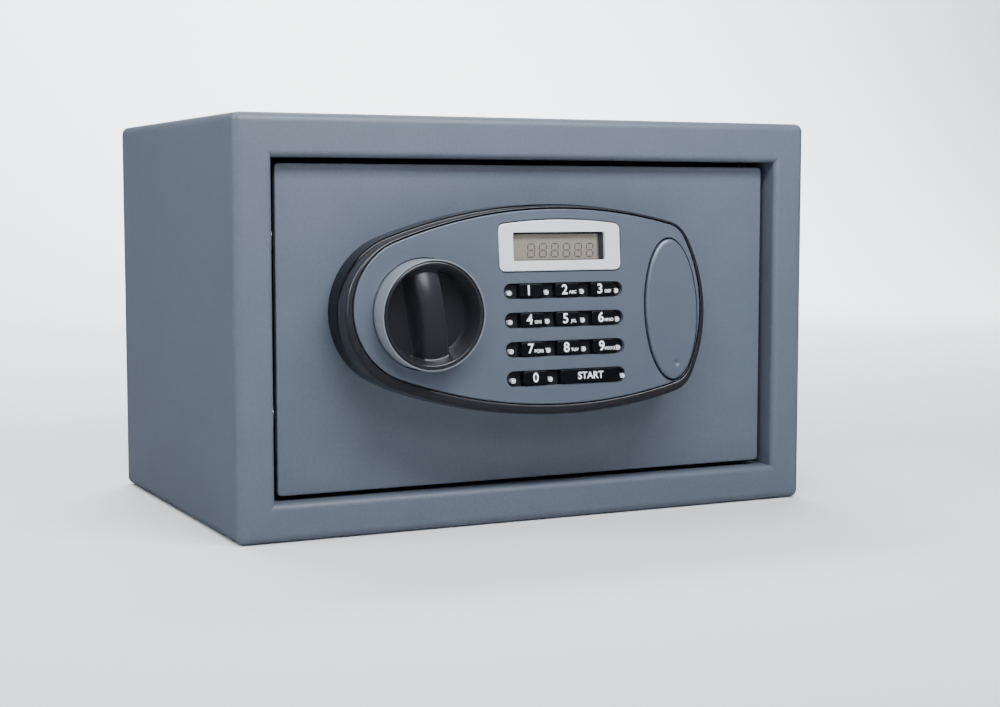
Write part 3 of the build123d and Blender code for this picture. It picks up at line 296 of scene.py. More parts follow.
def moulded(name, colour, roughness, grain=0.00002, coat=0.0, ior=1.5):
    """Moulded plastic: polished where the grain is small, leathery where it is larger."""
    f = Finish(name)
    fine = f.noise(900, 2, 0.5)
    broad = f.noise(30, 2, 0.5)
    light = tuple(c * 1.2 + 0.0004 for c in colour)
    tone = f.tint(broad, colour, light)
    normal = f.bump(fine, grain, 0.2)
    fixed = {"coat_weight": coat, "coat_roughness": 0.05, "ior": ior}
    return f.finish(tone, roughness + broad * 0.06, normal, **fixed)


def brushed(name, colour, roughness, stretch=(1, 1, 0.04), metallic=1.0):
    """Metal with fine lines drawn along one axis."""
    f = Finish(name)
    lines = f.noise(1800, 2, 0.6, stretch)
    broad = f.noise(50, 2, 0.5)
    light = tuple(min(1.0, c * 1.1) for c in colour)
    dark = tuple(c * 0.82 for c in colour)
    tone = f.tint(lines * 0.6 + broad * 0.4, dark, light)
    normal = f.bump(lines, 0.00003, 0.3)
    return f.finish(tone, roughness + lines * 0.12, normal, metallic=metallic)


def felt(name, colour):
    """Short matted fibre."""
    f = Finish(name)
    fibre = f.noise(1400, 4, 0.7)
    patch = f.noise(80, 3, 0.6)
    light = tuple(c * 1.6 + 0.01 for c in colour)
    tone = f.tint(fibre * 0.6 + patch * 0.4, colour, light)
    normal = f.bump(fibre, 0.0004, 0.8)
    return f.finish(tone, 0.92, normal, sheen_weight=0.25)


def clear_plastic(name):
    """Clear window, barely tinted."""
    f = Finish(name)
    haze = f.noise(200, 2, 0.5)
    tone = f.tint(haze, (0.3, 0.31, 0.29), (0.36, 0.37, 0.35))
    return f.finish(tone, 0.03 + haze * 0.03, alpha=0.06, ior=1.49)


def circuit(name):
    """Green lacquer with faint tracks."""
    f = Finish(name)
    x, _, z = f.axes()
    across = abs((x * TRACKS_ACROSS).fraction() - 0.5).under(0.1)
    along = abs((z * TRACKS_UP).fraction() - 0.5).under(0.08)
    tone = f.tint(across.most(along), (0.012, 0.09, 0.03), (0.03, 0.16, 0.05))
    return f.finish(tone, 0.35 + f.noise(300) * 0.1)


def display_glass(name, colour):
    """Reflective display ground, faintly mottled and grained."""
    f = Finish(name)
    fine = f.noise(2400, 2, 0.5)
    broad = f.noise(25, 1, 0.5)
    light = tuple(min(1.0, c * 1.12) for c in colour)
    tone = f.tint(broad * 0.7 + fine * 0.3, colour, light)
    return f.finish(tone, 0.42, f.bump(fine, 0.00002, 0.3))


# Shapes


def grid_faces(rows, columns, around_rows=False, around_columns=False):
    """Corner indices of the quads of a grid of points, closed on itself where asked."""
    i = np.arange(rows if around_rows else rows - 1)[:, None]
    j = np.arange(columns if around_columns else columns - 1)[None, :]
    nearer = (i * columns, ((i + 1) % rows) * columns)
    across = (j, (j + 1) % columns)
    corners = (
        nearer[0] + across[0],
        nearer[1] + across[0],
        nearer[1] + across[1],
        nearer[0] + across[1],
    )
    return np.stack([np.broadcast_to(c, (i.size, j.size)) for c in corners], -1).reshape(-1, 4)


def piece(name, points, faces, material, body, angle=math.radians(35)):
    """Mesh object from points and faces, welded, facing outwards, riding on a CAD body."""
    mesh = bpy.data.meshes.new(name)
    mesh.from_pydata(np.asarray(points).reshape(-1, 3).tolist(), [], [list(f) for f in faces])
    tidy(mesh)
    mesh.materials.append(material)
    made = bpy.data.objects.new(name, mesh)
    bpy.context.scene.collection.objects.link(made)
    mesh.shade_smooth()
    mesh.set_sharp_from_angle(angle=angle)
    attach(made, body)
    return made


def tidy(mesh):
    """Merge points that coincide and turn the faces outwards."""
    work = bmesh.new()
    work.from_mesh(mesh)
    bmesh.ops.remove_doubles(work, verts=work.verts, dist=1e-7)
    bmesh.ops.dissolve_degenerate(work, edges=work.edges, dist=1e-8)
    bmesh.ops.recalc_face_normals(work, faces=work.faces)
    work.to_mesh(mesh)
    work.free()


def on_face(x, v, out):
    """Point on the panel's leaning face from its across, up and outward distances."""
    x, v, out = np.broadcast_arrays(x, v, out)
    across = np.array((1.0, 0, 0))
    return FACE_POINT + x[..., None] * across + v[..., None] * FACE_UP + out[..., None] * FACE_OUT


def face_height(z):
    """Distance up the leaning face of a height above the base."""
    return (z - FACE_POINT[2]) / math.cos(TILT)


def lettering(name, words, place, size, material, body, thick=0.00006):
    """Words as a thin mesh lying on the leaning face, centred on a place given across and up."""
    curve = bpy.data.curves.new(name, "FONT")
    curve.body = words
    curve.size = size
    curve.extrude = thick
    curve.offset = size * 0.018
    curve.align_x = "CENTER"
    curve.align_y = "CENTER"
    curve.resolution_u = 6
    flat = bpy.data.objects.new(name, curve)
    bpy.context.scene.collection.objects.link(flat)
    bpy.context.view_layer.update()
    graph = bpy.context.evaluated_depsgraph_get()
    mesh = bpy.data.meshes.new_from_object(flat.evaluated_get(graph))
    bpy.data.objects.remove(flat)
    count = len(mesh.vertices)
    flat_points = np.empty(count * 3)
    mesh.vertices.foreach_get("co", flat_points)
    flat_points = flat_points.reshape(-1, 3)
    x, v, out = place
    points = on_face(x + flat_points[:, 0], v + flat_points[:, 1], out + flat_points[:, 2])
    mesh.vertices.foreach_set("co", points.ravel())
    mesh.materials.clear()
    mesh.materials.append(material)
    made = bpy.data.objects.new(name, mesh)
    bpy.context.scene.collection.objects.link(made)
    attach(made, body)
    return made


def dress(node, material):
    """Give a CAD node its finish."""
    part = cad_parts[node]
    for slot in part.material_slots:
        slot.material = material


def outline_arcs(spacing=0.0012):
    """Centres, radii and angles of points along the faceplate's outline.

    The long arcs touch the left arc from inside, and the corner arcs touch the long and the
    right arcs from inside, so each arc ends on the line through two centres.
    """
    drop = math.sqrt((LONG_R - LEFT_R) ** 2 - (LONG_X - LEFT_X) ** 2)
    left = math.atan2(drop, LEFT_X - LONG_X)
    gap = math.hypot(RIGHT_X - LONG_X, drop)
    long_side, right_side = LONG_R - CORNER_R, RIGHT_R - CORNER_R
    cosine = (long_side**2 + gap**2 - right_side**2) / (2 * long_side * gap)
    long = math.atan2(drop, RIGHT_X - LONG_X) - math.acos(cosine)
    corner_x = LONG_X + long_side * math.cos(long)
    corner_rise = long_side * math.sin(long) - drop
    right = math.atan2(corner_rise, corner_x - RIGHT_X)
    arcs = (
        (LEFT_X, 0, LEFT_R, left, 2 * math.pi - left),
        (LONG_X, drop, LONG_R, -left, -long),
        (corner_x, -corner_rise, CORNER_R, -long, -right),
        (RIGHT_X, 0, RIGHT_R, -right, right),
        (corner_x, corner_rise, CORNER_R, right, long),
        (LONG_X, -drop, LONG_R, long, left),
    )
    rows = []
    for x, rise, radius, start, end in arcs:
        count = max(8, round(radius * abs(end - start) / spacing))
        angle = np.linspace(start, end, count, endpoint=False)
        rows.append(np.stack([np.full(count, v) for v in (x, rise, radius)] + [angle]))
    return np.concatenate(rows, axis=1)


def panel_bezel(sizes, material):
    """Bezel round the faceplate, as one section carried along the outline.

    The section runs up the outer wall, over a quarter of an ellipse to the groove beside the
    faceplate, and back down the inner wall. The inner wall follows the faceplate's outline and
    the outer wall that of the base, whose middle is lower, so each point's middle is shared
    out by how far it lies between the two. The walls end at the upright step of the base.
    """
    turn = np.linspace(0, math.pi / 2, BEZEL_STEPS)
    wide = sizes.bezel_edge - sizes.bezel_groove - BEZEL_LIP
    edges = sizes.bezel_edge - wide + wide * np.cos(turn)
    depths = sizes.bezel_sink + sizes.bezel_round * (1 - np.sin(turn))
    edges = np.concatenate([[sizes.bezel_edge], edges, [sizes.bezel_groove] * 2])
    depths = np.concatenate([[0], depths, [sizes.bezel_sink + BEZEL_LIP, 0]])
    middle = OUTLINE_MIDDLE * (sizes.bezel_edge - edges) / (sizes.bezel_edge - sizes.bezel_groove)
    x, rise, radius, angle = (row[:, None] for row in outline_arcs())
    across = x + (radius + edges) * np.cos(angle)
    up = middle + rise + (radius + edges) * np.sin(angle)
    foot = (STEP_Y - FACE_POINT[1] - up * math.sin(TILT)) / math.cos(TILT)
    depth = np.broadcast_to(depths, up.shape).copy()
    depth[:, [0, -1]] = foot[:, [0, -1]]
    points = on_face(across, up, -depth)
    faces = grid_faces(*up.shape, around_rows=True, around_columns=True)
    made = piece("bezel_moulding", points, faces, material, "door", math.radians(40))
    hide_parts("panel_bezel")
    return made


def oval_cover(sizes, material):
    """Oval cover that stands proud of the faceplate, with a finger gap on its left.

    Rings of an ellipse carry a height that is level in the middle and falls over a quarter of
    a circle at the edge to an upright wall. A small dimple near the lower end is a hollow that
    fades as the exponential of the distance squared.
    """
    wide, high = sizes.oval_width / 2, sizes.oval_height / 2
    flat = np.linspace(1, 0, COVER_RINGS, endpoint=False) * (wide - COVER_ROUND) + COVER_ROUND
    turn = np.linspace(0, math.pi / 2, COVER_STEPS)
    inset = np.concatenate([flat, COVER_ROUND * (1 - np.sin(turn)), [0]])
    edge = sizes.oval_proud - COVER_ROUND * (1 - np.cos(turn))
    level = np.concatenate([np.full(COVER_RINGS, sizes.oval_proud), edge, [-COVER_BACK]])
    angle = np.linspace(0, 2 * math.pi, COVER_SPOKES, endpoint=False)[None, :]
    share = 1 - inset[:, None] / wide
    x = (wide - inset[:, None]) * np.cos(angle)
    up = high * share * np.sin(angle)
    far = (x - sizes.dimple_across) ** 2 + (up + sizes.dimple_below) ** 2
    out = level[:, None] - DIMPLE_DEPTH * np.exp(-far / DIMPLE_SPREAD**2)
    middle = np.zeros((1, COVER_SPOKES))
    x = np.concatenate([x, middle])
    up = np.concatenate([up, middle])
    out = np.concatenate([out, middle - COVER_BACK])
    points = on_face(sizes.oval_across + x, sizes.oval_up + up, out)
    faces = grid_faces(*x.shape, around_columns=True)
    made = piece("oval_moulding", points, faces, material, "cover", math.radians(50))
    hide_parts("oval_cover")
    return made


def display_shade(sizes, material):
    """Painted shadow in front of the display: a black band standing in for the shade on the window's
    right and top inner walls, made of two rectangles joined by a flat band.
    """
    low, high = sizes.window_low, sizes.window_low + sizes.window_height
    left, right = sizes.window_left, sizes.window_left + sizes.window_width
    outer = np.array([(left, low), (right, low), (right, high), (left, high)])
    shift = np.array([
        (SHADE_THIN, SHADE_THIN),
        (-sizes.shade_right, SHADE_THIN),
        (-sizes.shade_right, -SHADE_TOP),
        (SHADE_THIN, -SHADE_TOP),
    ])
    inner = outer + shift
    loops = np.stack([outer, inner, inner, outer])
    out = -np.array((SHADE_FRONT, SHADE_FRONT, SHADE_BACK, SHADE_BACK))[:, None]
    points = on_face(loops[..., 0], loops[..., 1], np.broadcast_to(out, loops.shape[:2]))
    faces = grid_faces(4, 4, around_rows=True, around_columns=True)
    made = piece("display_shade", points, faces, material, "door")
    return made


def smooth_step(value, low, high):
    """Rises from 0 at low to 1 at high as three squares less two cubes of the share passed."""
    share = np.clip((value - low) / (high - low), 0, 1)
    return share * share * (3 - 2 * share)


def knob_grip(sizes, material):
    """Grip with a finger pocket on each side.

    A disc of rings and spokes whose depth is a sum of two smooth steps: one falls from the rim
    into the pocket, the other rises from the pocket up the flanks of the bar across the middle.
    The bar's crest falls away towards its ends as the square of the distance along it.
    """
    inner = np.linspace(0, GRIP_FINE_FROM, GRIP_INNER_RINGS)
    outer = np.linspace(GRIP_FINE_FROM, 1.0, GRIP_OUTER_RINGS)[1:]
    rings = np.concatenate([inner, outer]) * GRIP_RADIUS
    spokes = np.linspace(0, 2 * math.pi, GRIP_SPOKES, endpoint=False)
    r, a = np.meshgrid(rings, spokes, indexing="ij")
    x, z = r * np.cos(a), r * np.sin(a)
    lean = sizes.grip_lean
    across = x * math.cos(lean) + z * math.sin(lean)
    along = -x * math.sin(lean) + z * math.cos(lean)
    half = sizes.grip_width / 2 * (1 + GRIP_SPREAD * (along / GRIP_RADIUS) ** 2)
    flank = smooth_step(np.abs(across), half, half + sizes.grip_flare)
    wall = 1 - smooth_step(r, sizes.pocket_radius - sizes.pocket_wall, sizes.pocket_radius)
    crest = sizes.grip_fall * (along / sizes.pocket_radius) ** 2
    crown = GRIP_CROWN * (across / half).clip(-1, 1) ** 2
    depth = wall * (flank * sizes.pocket_depth + (1 - flank) * (crest + crown))
    rim = RIM_DROP * smooth_step(r, GRIP_RADIUS - RIM_WIDTH, GRIP_RADIUS)
    front = np.stack([KNOB_X + x, GRIP_FRONT + depth + rim, KNOB_Z + z], -1)
    side = front[-1:].copy()
    side[..., 1] = GRIP_BACK
    middle = side.copy()
    middle[..., 0] = KNOB_X
    middle[..., 2] = KNOB_Z
    points = np.concatenate([front, side, middle])
    faces = grid_faces(len(rings) + 2, len(spokes), around_columns=True)
    made = piece("knob_grip_moulding", points, faces, material, "knob", math.radians(60))
    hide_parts("knob_grip")
    return made


def key_marks(sizes, ink):
    """Numbers and small letters on the keys, and one word on the long key."""
    letters = ("", "ABC", "DEF", "GHI", "JKL", "MNO", "PQRS", "TUV", "WXYZ")
    out = sizes.key_proud + PRINT_LIFT
    made = []
    for number in range(1, 10):
        row, column = divmod(number - 1, 3)
        x = sizes.key_middle + (column - 1) * sizes.key_pitch
        v = face_height(sizes.key_top_row - row * sizes.key_row_pitch)
        body = f"key_{number}_body"
        place = (x - NUMBER_LEFT, v, out)
        made.append(lettering(f"number_{number}", str(number), place, NUMBER_SIZE, ink, body))
        words = letters[number - 1]
        if words:
            place = (x + LETTER_RIGHT, v - LETTER_DROP, out)
            made.append(lettering(f"letters_{number}", words, place, LETTER_SIZE, ink, body))
    v = face_height(sizes.key_top_row - 3 * sizes.key_row_pitch)
    made.append(lettering("number_0", "0", (ZERO_X, v, out), ZERO_SIZE, ink, "key_0_body"))
    place = (START_X, v, out)
    made.append(lettering("start_word", "START", place, START_SIZE, ink, "key_start_body"))
    return made


def display_digits(sizes, ink):
    """Six faint figures of seven bars each, behind the window."""
    width, height = sizes.digit_width, sizes.digit_width * FIGURE_TALL
    bar, gap = width * BAR_SHARE, width * GAP_SHARE
    middles = [
        (0, height / 2, True),
        (0, 0, True),
        (0, -height / 2, True),
        (-width / 2, height / 4, False),
        (width / 2, height / 4, False),
        (-width / 2, -height / 4, False),
        (width / 2, -height / 4, False),
    ]
    points, faces = [], []
    for index in range(FIGURES):
        left = sizes.digit_left + index * sizes.digit_pitch
        for u, v, flat in middles:
            length = (width if flat else height / 2) - bar / 2 - gap
            half, thin = length / 2, bar / 2
            shape = [(-half, 0), (-half + thin, thin), (half - thin, thin)]
            shape += [(half, 0), (half - thin, -thin), (-half + thin, -thin)]
            shape = np.array(shape)
            if not flat:
                shape = shape[:, ::-1]
            slant = FIGURE_SLANT * (v + shape[:, 1])
            x = left + u + shape[:, 0] + slant
            up = sizes.digit_middle + v + shape[:, 1]
            start = len(points) * 6
            points.append(on_face(x, up, sizes.digit_out))
            points.append(on_face(x, up, sizes.digit_out + FIGURE_THICK))
            faces.append([start + i for i in range(6)])
            faces.append([start + 6 + i for i in range(6)])
            for i in range(6):
                nxt = (i + 1) % 6
                faces.append([start + i, start + nxt, start + 6 + nxt, start + 6 + i])
    made = piece("lcd_figures", np.concatenate(points), faces, ink, "door")
    return made


# What a user would change


class SafeSizes(bpy.types.PropertyGroup):
    """Sizes of the modelled details."""

    grip_width: FloatProperty(
        name="Grip width",
        description="Width of the knob's bar at its crest",
        default=0.0105,
        unit="LENGTH",
    )
    grip_flare: FloatProperty(
        name="Grip flare",
        description="How far each flank spreads to the floor",
        default=0.0042,
        unit="LENGTH",
    )
    grip_fall: FloatProperty(
        name="Crest fall",
        description="How far the bar's ends lie below its middle",
        default=0.0046,
        unit="LENGTH",
    )
    grip_lean: FloatProperty(
        name="Grip lean",
        description="Lean of the bar to the left",
        default=math.radians(8),
        subtype="ANGLE",
    )
    pocket_radius: FloatProperty(
        name="Pocket radius",
        description="Radius of the two finger pockets",
        default=0.0236,
        unit="LENGTH",
    )
    pocket_wall: FloatProperty(
        name="Pocket wall",
        description="Width of the pocket's outer wall",
        default=0.0036,
        unit="LENGTH",
    )
    pocket_depth: FloatProperty(
        name="Pocket depth",
        description="Depth of the finger pockets",
        default=0.0108,
        unit="LENGTH",
    )
    bezel_edge: FloatProperty(
        name="Bezel edge",
        description="Bezel's width past the faceplate",
        default=0.0035,
        unit="LENGTH",
    )
    bezel_groove: FloatProperty(
        name="Bezel groove",
        description="Gap between bezel and faceplate",
        default=0.0007,
        unit="LENGTH",
    )
    bezel_sink: FloatProperty(
        name="Bezel sink",
        description="How far the bezel lies behind the face",
        default=0.0002,
        unit="LENGTH",
    )
    bezel_round: FloatProperty(
        name="Bezel rounding",
        description="Depth of the bezel's rounded edge",
        default=0.0026,
        unit="LENGTH",
    )
    key_middle: FloatProperty(
        name="Middle key",
        description="Place of the middle column of keys",
        default=0.0058,
        unit="LENGTH",
    )
    key_pitch: FloatProperty(
        name="Key pitch",
        description="Distance between columns",
        default=0.0194,
        unit="LENGTH",
    )
    key_row_pitch: FloatProperty(
        name="Row pitch",
        description="Distance between rows",
        default=0.01385,
        unit="LENGTH",
    )
    key_top_row: FloatProperty(
        name="Top row",
        description="Height of the top row of keys",
        default=0.1143,
        unit="LENGTH",
    )
    key_proud: FloatProperty(
        name="Key height",
        description="How far keys stand out of the face",
        default=0.0008,
        unit="LENGTH",
    )
    oval_across: FloatProperty(
        name="Oval place",
        description="Place of the oval cover across the face",
        default=0.06445,
        unit="LENGTH",
    )
    oval_up: FloatProperty(
        name="Oval rise",
        description="Place of the oval cover up the face",
        default=-0.0014,
        unit="LENGTH",
    )
    oval_width: FloatProperty(
        name="Oval width",
        description="Width of the oval cover",
        default=0.0293,
        unit="LENGTH",
    )
    oval_height: FloatProperty(
        name="Oval height",
        description="Height of the oval cover",
        default=0.0694,
        unit="LENGTH",
    )
    oval_proud: FloatProperty(
        name="Oval proud",
        description="How far the oval cover stands out",
        default=0.0007,
        unit="LENGTH",
    )
    dimple_across: FloatProperty(
        name="Dimple place",
        description="Dimple's place from the oval's middle",
        default=0.0015,
        unit="LENGTH",
    )
    dimple_below: FloatProperty(
        name="Dimple drop",
        description="Dimple's place below the oval's middle",
        default=0.0268,
        unit="LENGTH",
    )
    window_left: FloatProperty(
        name="Window left",
        description="Left edge of the display window",
        default=-0.0224,
        unit="LENGTH",
    )
    window_low: FloatProperty(
        name="Window foot",
        description="Lower edge of the display window",
        default=0.02368,
        unit="LENGTH",
    )
    window_width: FloatProperty(
        name="Window width",
        description="Width of the display window",
        default=0.0499,
        unit="LENGTH",
    )
    window_height: FloatProperty(
        name="Window height",
        description="Height of the display window",
        default=0.0136,
        unit="LENGTH",
    )
    # Painted shadow: width of the black band on the window's right, where shade falls on its inner
    # wall
    shade_right: FloatProperty(
        name="Shade",
        description="Width of the black border on the right",
        default=0.0026,
        unit="LENGTH",
    )
    digit_width: FloatProperty(
        name="Figure width",
        description="Width of one display figure",
        default=0.0036,
        unit="LENGTH",
    )
    digit_left: FloatProperty(
        name="First figure",
        description="Place of the first figure",
        default=-0.0115,
        unit="LENGTH",
    )
    digit_pitch: FloatProperty(
        name="Figure pitch",
        description="Distance between figures",
        default=0.0064,
        unit="LENGTH",
    )
    digit_middle: FloatProperty(
        name="Figure height",
        description="Height of the figures on the face",
        default=0.0286,
        unit="LENGTH",
    )
    digit_out: FloatProperty(
        name="Figure depth",
        description="Where the figures lie out of the face",
        default=-0.00256,
        unit="LENGTH",
    )


def swatch(label, words, colour):
    """Colour property."""
    return FloatVectorProperty(name=label, description=words, default=colour, size=3, subtype="COLOR")


class SafeColours(bpy.types.PropertyGroup):
    """Colours of the finishes."""

    coat: swatch("Powder coat", "Body and door", lin(88, 96, 108))
    face: swatch("Faceplate", "Satin faceplate and oval cover", lin(98, 106, 119))
    bright: swatch("Bright silver", "Display bezel, knob ring and dots", lin(236, 239, 244))
    black: swatch("Black", "Polished mouldings", lin(2, 3, 4))
    display: swatch("Display", "Display ground", lin(128, 119, 106))


def sizes():
    """The sizes of the open scene."""
    return bpy.context.scene.safe_sizes


def colours():
    """The colours of the open scene."""
    return bpy.context.scene.safe_colours


class SAFE_OT_finishes(bpy.types.Operator):
    """Make every finish and give each CAD node its own"""

    bl_idname = "safe.finishes"
    bl_label = "Finishes"

    def execute(self, context):
        tint = colours()
        coat = powder_coat("powder_coat", tuple(tint.coat))
        pan = powder_coat("pan_coat", lin(76, 84, 96), 0.5)
        silver = satin_lacquer("satin_silver", tuple(tint.face))
        bright = satin_lacquer("bright_silver", tuple(tint.bright), 0.3, 0.25)
        skirt = brushed("knob_silver", lin(134, 139, 148), 0.34, (1, 1, 1), 0.3)
        gloss = moulded("gloss_black", tuple(tint.black), 0.1, 0.00001, ior=1.36)
        black = moulded("matt_black", lin(18, 20, 23), 0.42, 0.00006)
        keys = moulded("key_black", lin(10, 12, 15), 0.26, ior=1.35)
        zinc = brushed("zinc_plate", lin(188, 190, 188), 0.34, (1, 1, 0.1))
        plated = brushed("bright_plate", lin(210, 212, 214), 0.16, (1, 0.06, 1))
        brass = brushed("machined_brass", lin(205, 172, 96), 0.26)
        looks = {
            coat: ("body_shell", "back_panel", "door_plate"),
            pan: ("door_pan", "mechanism_cover"),
            silver: ("faceplate", "oval_cover"),
            bright: ("lcd_bezel", "key_row_studs"),
            skirt: ("knob_ring",),
            gloss: ("panel_base", "panel_bezel", "knob_grip"),
            # hinge_pins take matt black as painted shade: the plated pins sit in the shadowed gap by
            # the door and are darkened to match it
            black: ("hinge_pins", "panel_carrier", "battery_box", "battery_lid", "reset_guide"),
            keys: tuple(f"key_{n}" for n in range(10)) + ("key_start",),
            zinc: (
                "hinge_brackets", "hinge_bosses", "cover_screws", "panel_screws", "lock_nut",
                "solenoid_frame", "bolt_guides", "knob_shaft", "crank_disc", "shaft_clip",
                "bolt_plate", "bolt_screws", "lock_cam",
            ),
            plated: (
                "locking_bolts", "crank_pin", "lock_body", "solenoid_plunger",
                "battery_contacts",
            ),
            brass: ("shaft_bush", "external_contacts", "lock_plug"),
            felt("black_felt", lin(28, 29, 31)): ("floor_mat",),
            moulded("grey_silicone", lin(120, 122, 124), 0.6): ("keypad_mat",),
            circuit("circuit_green"): ("circuit_board",),
            clear_plastic("clear_window"): ("lcd_lens",),
            display_glass("display_ground", tuple(tint.display)): ("lcd_module",),
            moulded("cell_sleeve", lin(44, 52, 66), 0.25): ("batteries",),
            moulded("coil_tape", lin(150, 92, 44), 0.5): ("solenoid_coil",),
            moulded("wire_red", lin(150, 28, 24), 0.45): ("wiring_leads",),
            moulded("button_red", lin(170, 30, 26), 0.2, coat=0.4): ("reset_button",),
        }
        for material, nodes in looks.items():
            for node in nodes:
                dress(node, material)
        undressed = set(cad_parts) - {n for nodes in looks.values() for n in nodes}
        if undressed:
            raise RuntimeError(f"no finish for {sorted(undressed)}")
        return {"FINISHED"}


class SAFE_OT_knob(bpy.types.Operator):
    """Model the knob's grip"""

    bl_idname = "safe.knob"
    bl_label = "Knob"

    def execute(self, context):
        knob_grip(sizes(), bpy.data.materials["gloss_black"])
        return {"FINISHED"}


class SAFE_OT_bezel(bpy.types.Operator):
    """Model the bezel round the faceplate"""

    bl_idname = "safe.bezel"
    bl_label = "Bezel"

    def execute(self, context):
        panel_bezel(sizes(), bpy.data.materials["gloss_black"])
        return {"FINISHED"}


class SAFE_OT_cover(bpy.types.Operator):
    """Model the oval cover"""

    bl_idname = "safe.cover"
    bl_label = "Oval cover"

    def execute(self, context):
        oval_cover(sizes(), bpy.data.materials["satin_silver"])
        return {"FINISHED"}


class SAFE_OT_keys(bpy.types.Operator):
    """Print the keys"""

    bl_idname = "safe.keys"
    bl_label = "Keys"

    def execute(self, context):
        ink = moulded("white_ink", lin(235, 237, 240), 0.5)
        key_marks(sizes(), ink)
        return {"FINISHED"}


class SAFE_OT_display(bpy.types.Operator):
    """Draw the display's figures and the painted shadow inside its window"""

    bl_idname = "safe.display"
    bl_label = "Display"

    def execute(self, context):
        ink = moulded("display_ink", lin(62, 58, 50), 0.5)
        display_digits(sizes(), ink)
        # The black band inside the window is painted shadow, standing in for shade on its inner walls
        display_shade(sizes(), bpy.data.materials["gloss_black"])
        return {"FINISHED"}


class SAFE_OT_stage(bpy.types.Operator):
    """Floor, soft lights and camera"""

    bl_idname = "safe.stage"
    bl_label = "Stage"

    def execute(self, context):
        stage_floor()
        stage_lights()
        stage_camera()
        return {"FINISHED"}


def stage_floor():
    """Pale floor that sweeps up into a wall behind, as a profile carried across.

    It is hidden from mirror reflections, so that polished black pieces stay black.
    """
    turn = np.linspace(0, math.pi / 2, FLOOR_STEPS)[1:]
    bend_y = FLOOR_FAR + FLOOR_BEND * np.sin(turn)
    bend_z = FLOOR_BEND * (1 - np.cos(turn))
    curve_y = np.concatenate([[FLOOR_NEAR, FLOOR_FAR], bend_y, [FLOOR_FAR + FLOOR_BEND]])
    curve_z = np.concatenate([[0, 0], bend_z, [FLOOR_WALL]]) - FLOOR_DROP
    across = np.array((-FLOOR_HALF, FLOOR_HALF))
    x = np.broadcast_to(across[:, None], (2, len(curve_y)))
    points = np.stack([x, np.broadcast_to(curve_y, x.shape), np.broadcast_to(curve_z, x.shape)], -1)
    mesh = bpy.data.meshes.new("floor")
    mesh.from_pydata(points.reshape(-1, 3).tolist(), [], grid_faces(2, len(curve_y)).tolist())
    mesh.shade_smooth()
    floor = bpy.data.objects.new("floor", mesh)
    bpy.context.scene.collection.objects.link(floor)
    f = Finish("floor_white")
    mesh.materials.append(f.finish((0.9, 0.9, 0.9), 0.7))
    floor.visible_glossy = False


def softbox(name, place, aim, size, power, colour=(1, 1, 1), spread=180):
    """Rectangular area light that faces a point."""
    data = bpy.data.lights.new(name, "AREA")
    data.shape = "RECTANGLE"
    data.size, data.size_y = size
    data.energy = power
    data.color = colour
    data.spread = math.radians(spread)
    light = bpy.data.objects.new(name, data)
    light.location = place
    light.rotation_euler = (Vector(aim) - Vector(place)).to_track_quat("-Z", "Y").to_euler()
    bpy.context.scene.collection.objects.link(light)


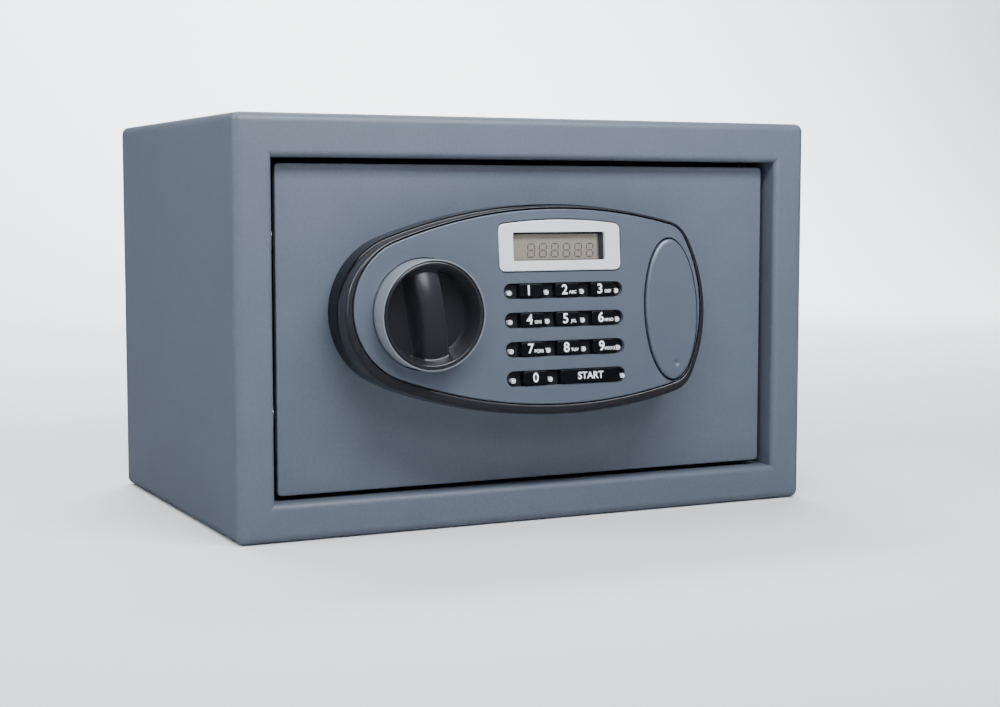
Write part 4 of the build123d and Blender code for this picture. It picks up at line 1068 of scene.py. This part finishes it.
def stage_lights():
    """A dim surround, a key above, boxes at the side, front and left, and washes on the floor."""
    world = bpy.data.worlds.new("studio")
    world.use_nodes = True
    background = world.node_tree.nodes["Background"]
    background.inputs["Color"].default_value = (0.8, 0.9, 1.0, 1)
    background.inputs["Strength"].default_value = 0.05
    bpy.context.scene.world = world
    cool = (0.92, 0.96, 1.0)
    softbox("key_box", (-0.02, -0.38, 0.5), (0, -0.1, 0.17), (0.6, 0.12), 5.0, cool)
    softbox("side_box", (-0.55, -0.02, 0.5), (-0.155, 0, 0.16), (0.14, 0.4), 2.5, cool)
    softbox("front_box", (0.1, -1.02, 0.64), (-0.07, -0.12, 0.105), (0.3, 0.3), 2.7, cool)
    softbox("left_box", (-1.0, -0.4, 0.26), (-0.13, -0.11, 0.11), (0.14, 0.26), 0.9, cool)
    softbox("wall_box", (0.4, 1.1, 1.5), (0.8, 2.0, 0.6), (2.6, 0.4), 60, cool, 100)
    softbox("fore_box", (0, -2.1, 1.8), (0, -2.1, 0), (4, 0.8), 60, cool, 80)
    softbox("floor_box", (0.5, 1.0, 1.6), (0.5, 0.9, 0), (2.4, 0.5), 36, cool, 100)


def stage_camera():
    """Camera at the photograph's place and angle."""
    data = bpy.data.cameras.new("camera")
    data.sensor_width = SENSOR_WIDTH
    data.lens = CAMERA_LENS
    camera = bpy.data.objects.new("camera", data)
    camera.location = CAMERA_PLACE
    camera.rotation_euler = (math.pi / 2 - CAMERA_PITCH, 0, -CAMERA_YAW)
    bpy.context.scene.collection.objects.link(camera)
    bpy.context.scene.camera = camera


class SAFE_PT_panel(bpy.types.Panel):
    """Safe tools in the sidebar"""

    bl_idname = "SAFE_PT_panel"
    bl_label = "Electronic safe"
    bl_space_type = "VIEW_3D"
    bl_region_type = "UI"
    bl_category = "Safe"

    def draw(self, context):
        for operator in OPERATORS:
            self.layout.operator(operator.bl_idname)
        for group in (context.scene.safe_colours, context.scene.safe_sizes):
            for key in group.__annotations__:
                self.layout.prop(group, key)


OPERATORS = (
    SAFE_OT_finishes,
    SAFE_OT_bezel,
    SAFE_OT_knob,
    SAFE_OT_cover,
    SAFE_OT_keys,
    SAFE_OT_display,
    SAFE_OT_stage,
)
CLASSES = (SafeSizes, SafeColours, *OPERATORS, SAFE_PT_panel)


def register():
    """Make the classes and the scene's two groups of properties known."""
    for made in CLASSES:
        bpy.utils.register_class(made)
    bpy.types.Scene.safe_sizes = PointerProperty(type=SafeSizes)
    bpy.types.Scene.safe_colours = PointerProperty(type=SafeColours)


def unregister():
    """Take back what register made."""
    del bpy.types.Scene.safe_colours
    del bpy.types.Scene.safe_sizes
    for made in reversed(CLASSES):
        bpy.utils.unregister_class(made)


def main():
    """Dress the safe piece by piece."""
    register()
    bpy.ops.safe.finishes()
    bpy.ops.safe.bezel()
    bpy.ops.safe.knob()
    bpy.ops.safe.cover()
    bpy.ops.safe.keys()
    bpy.ops.safe.display()
    bpy.ops.safe.stage()


if __name__ == "__main__":
    main()
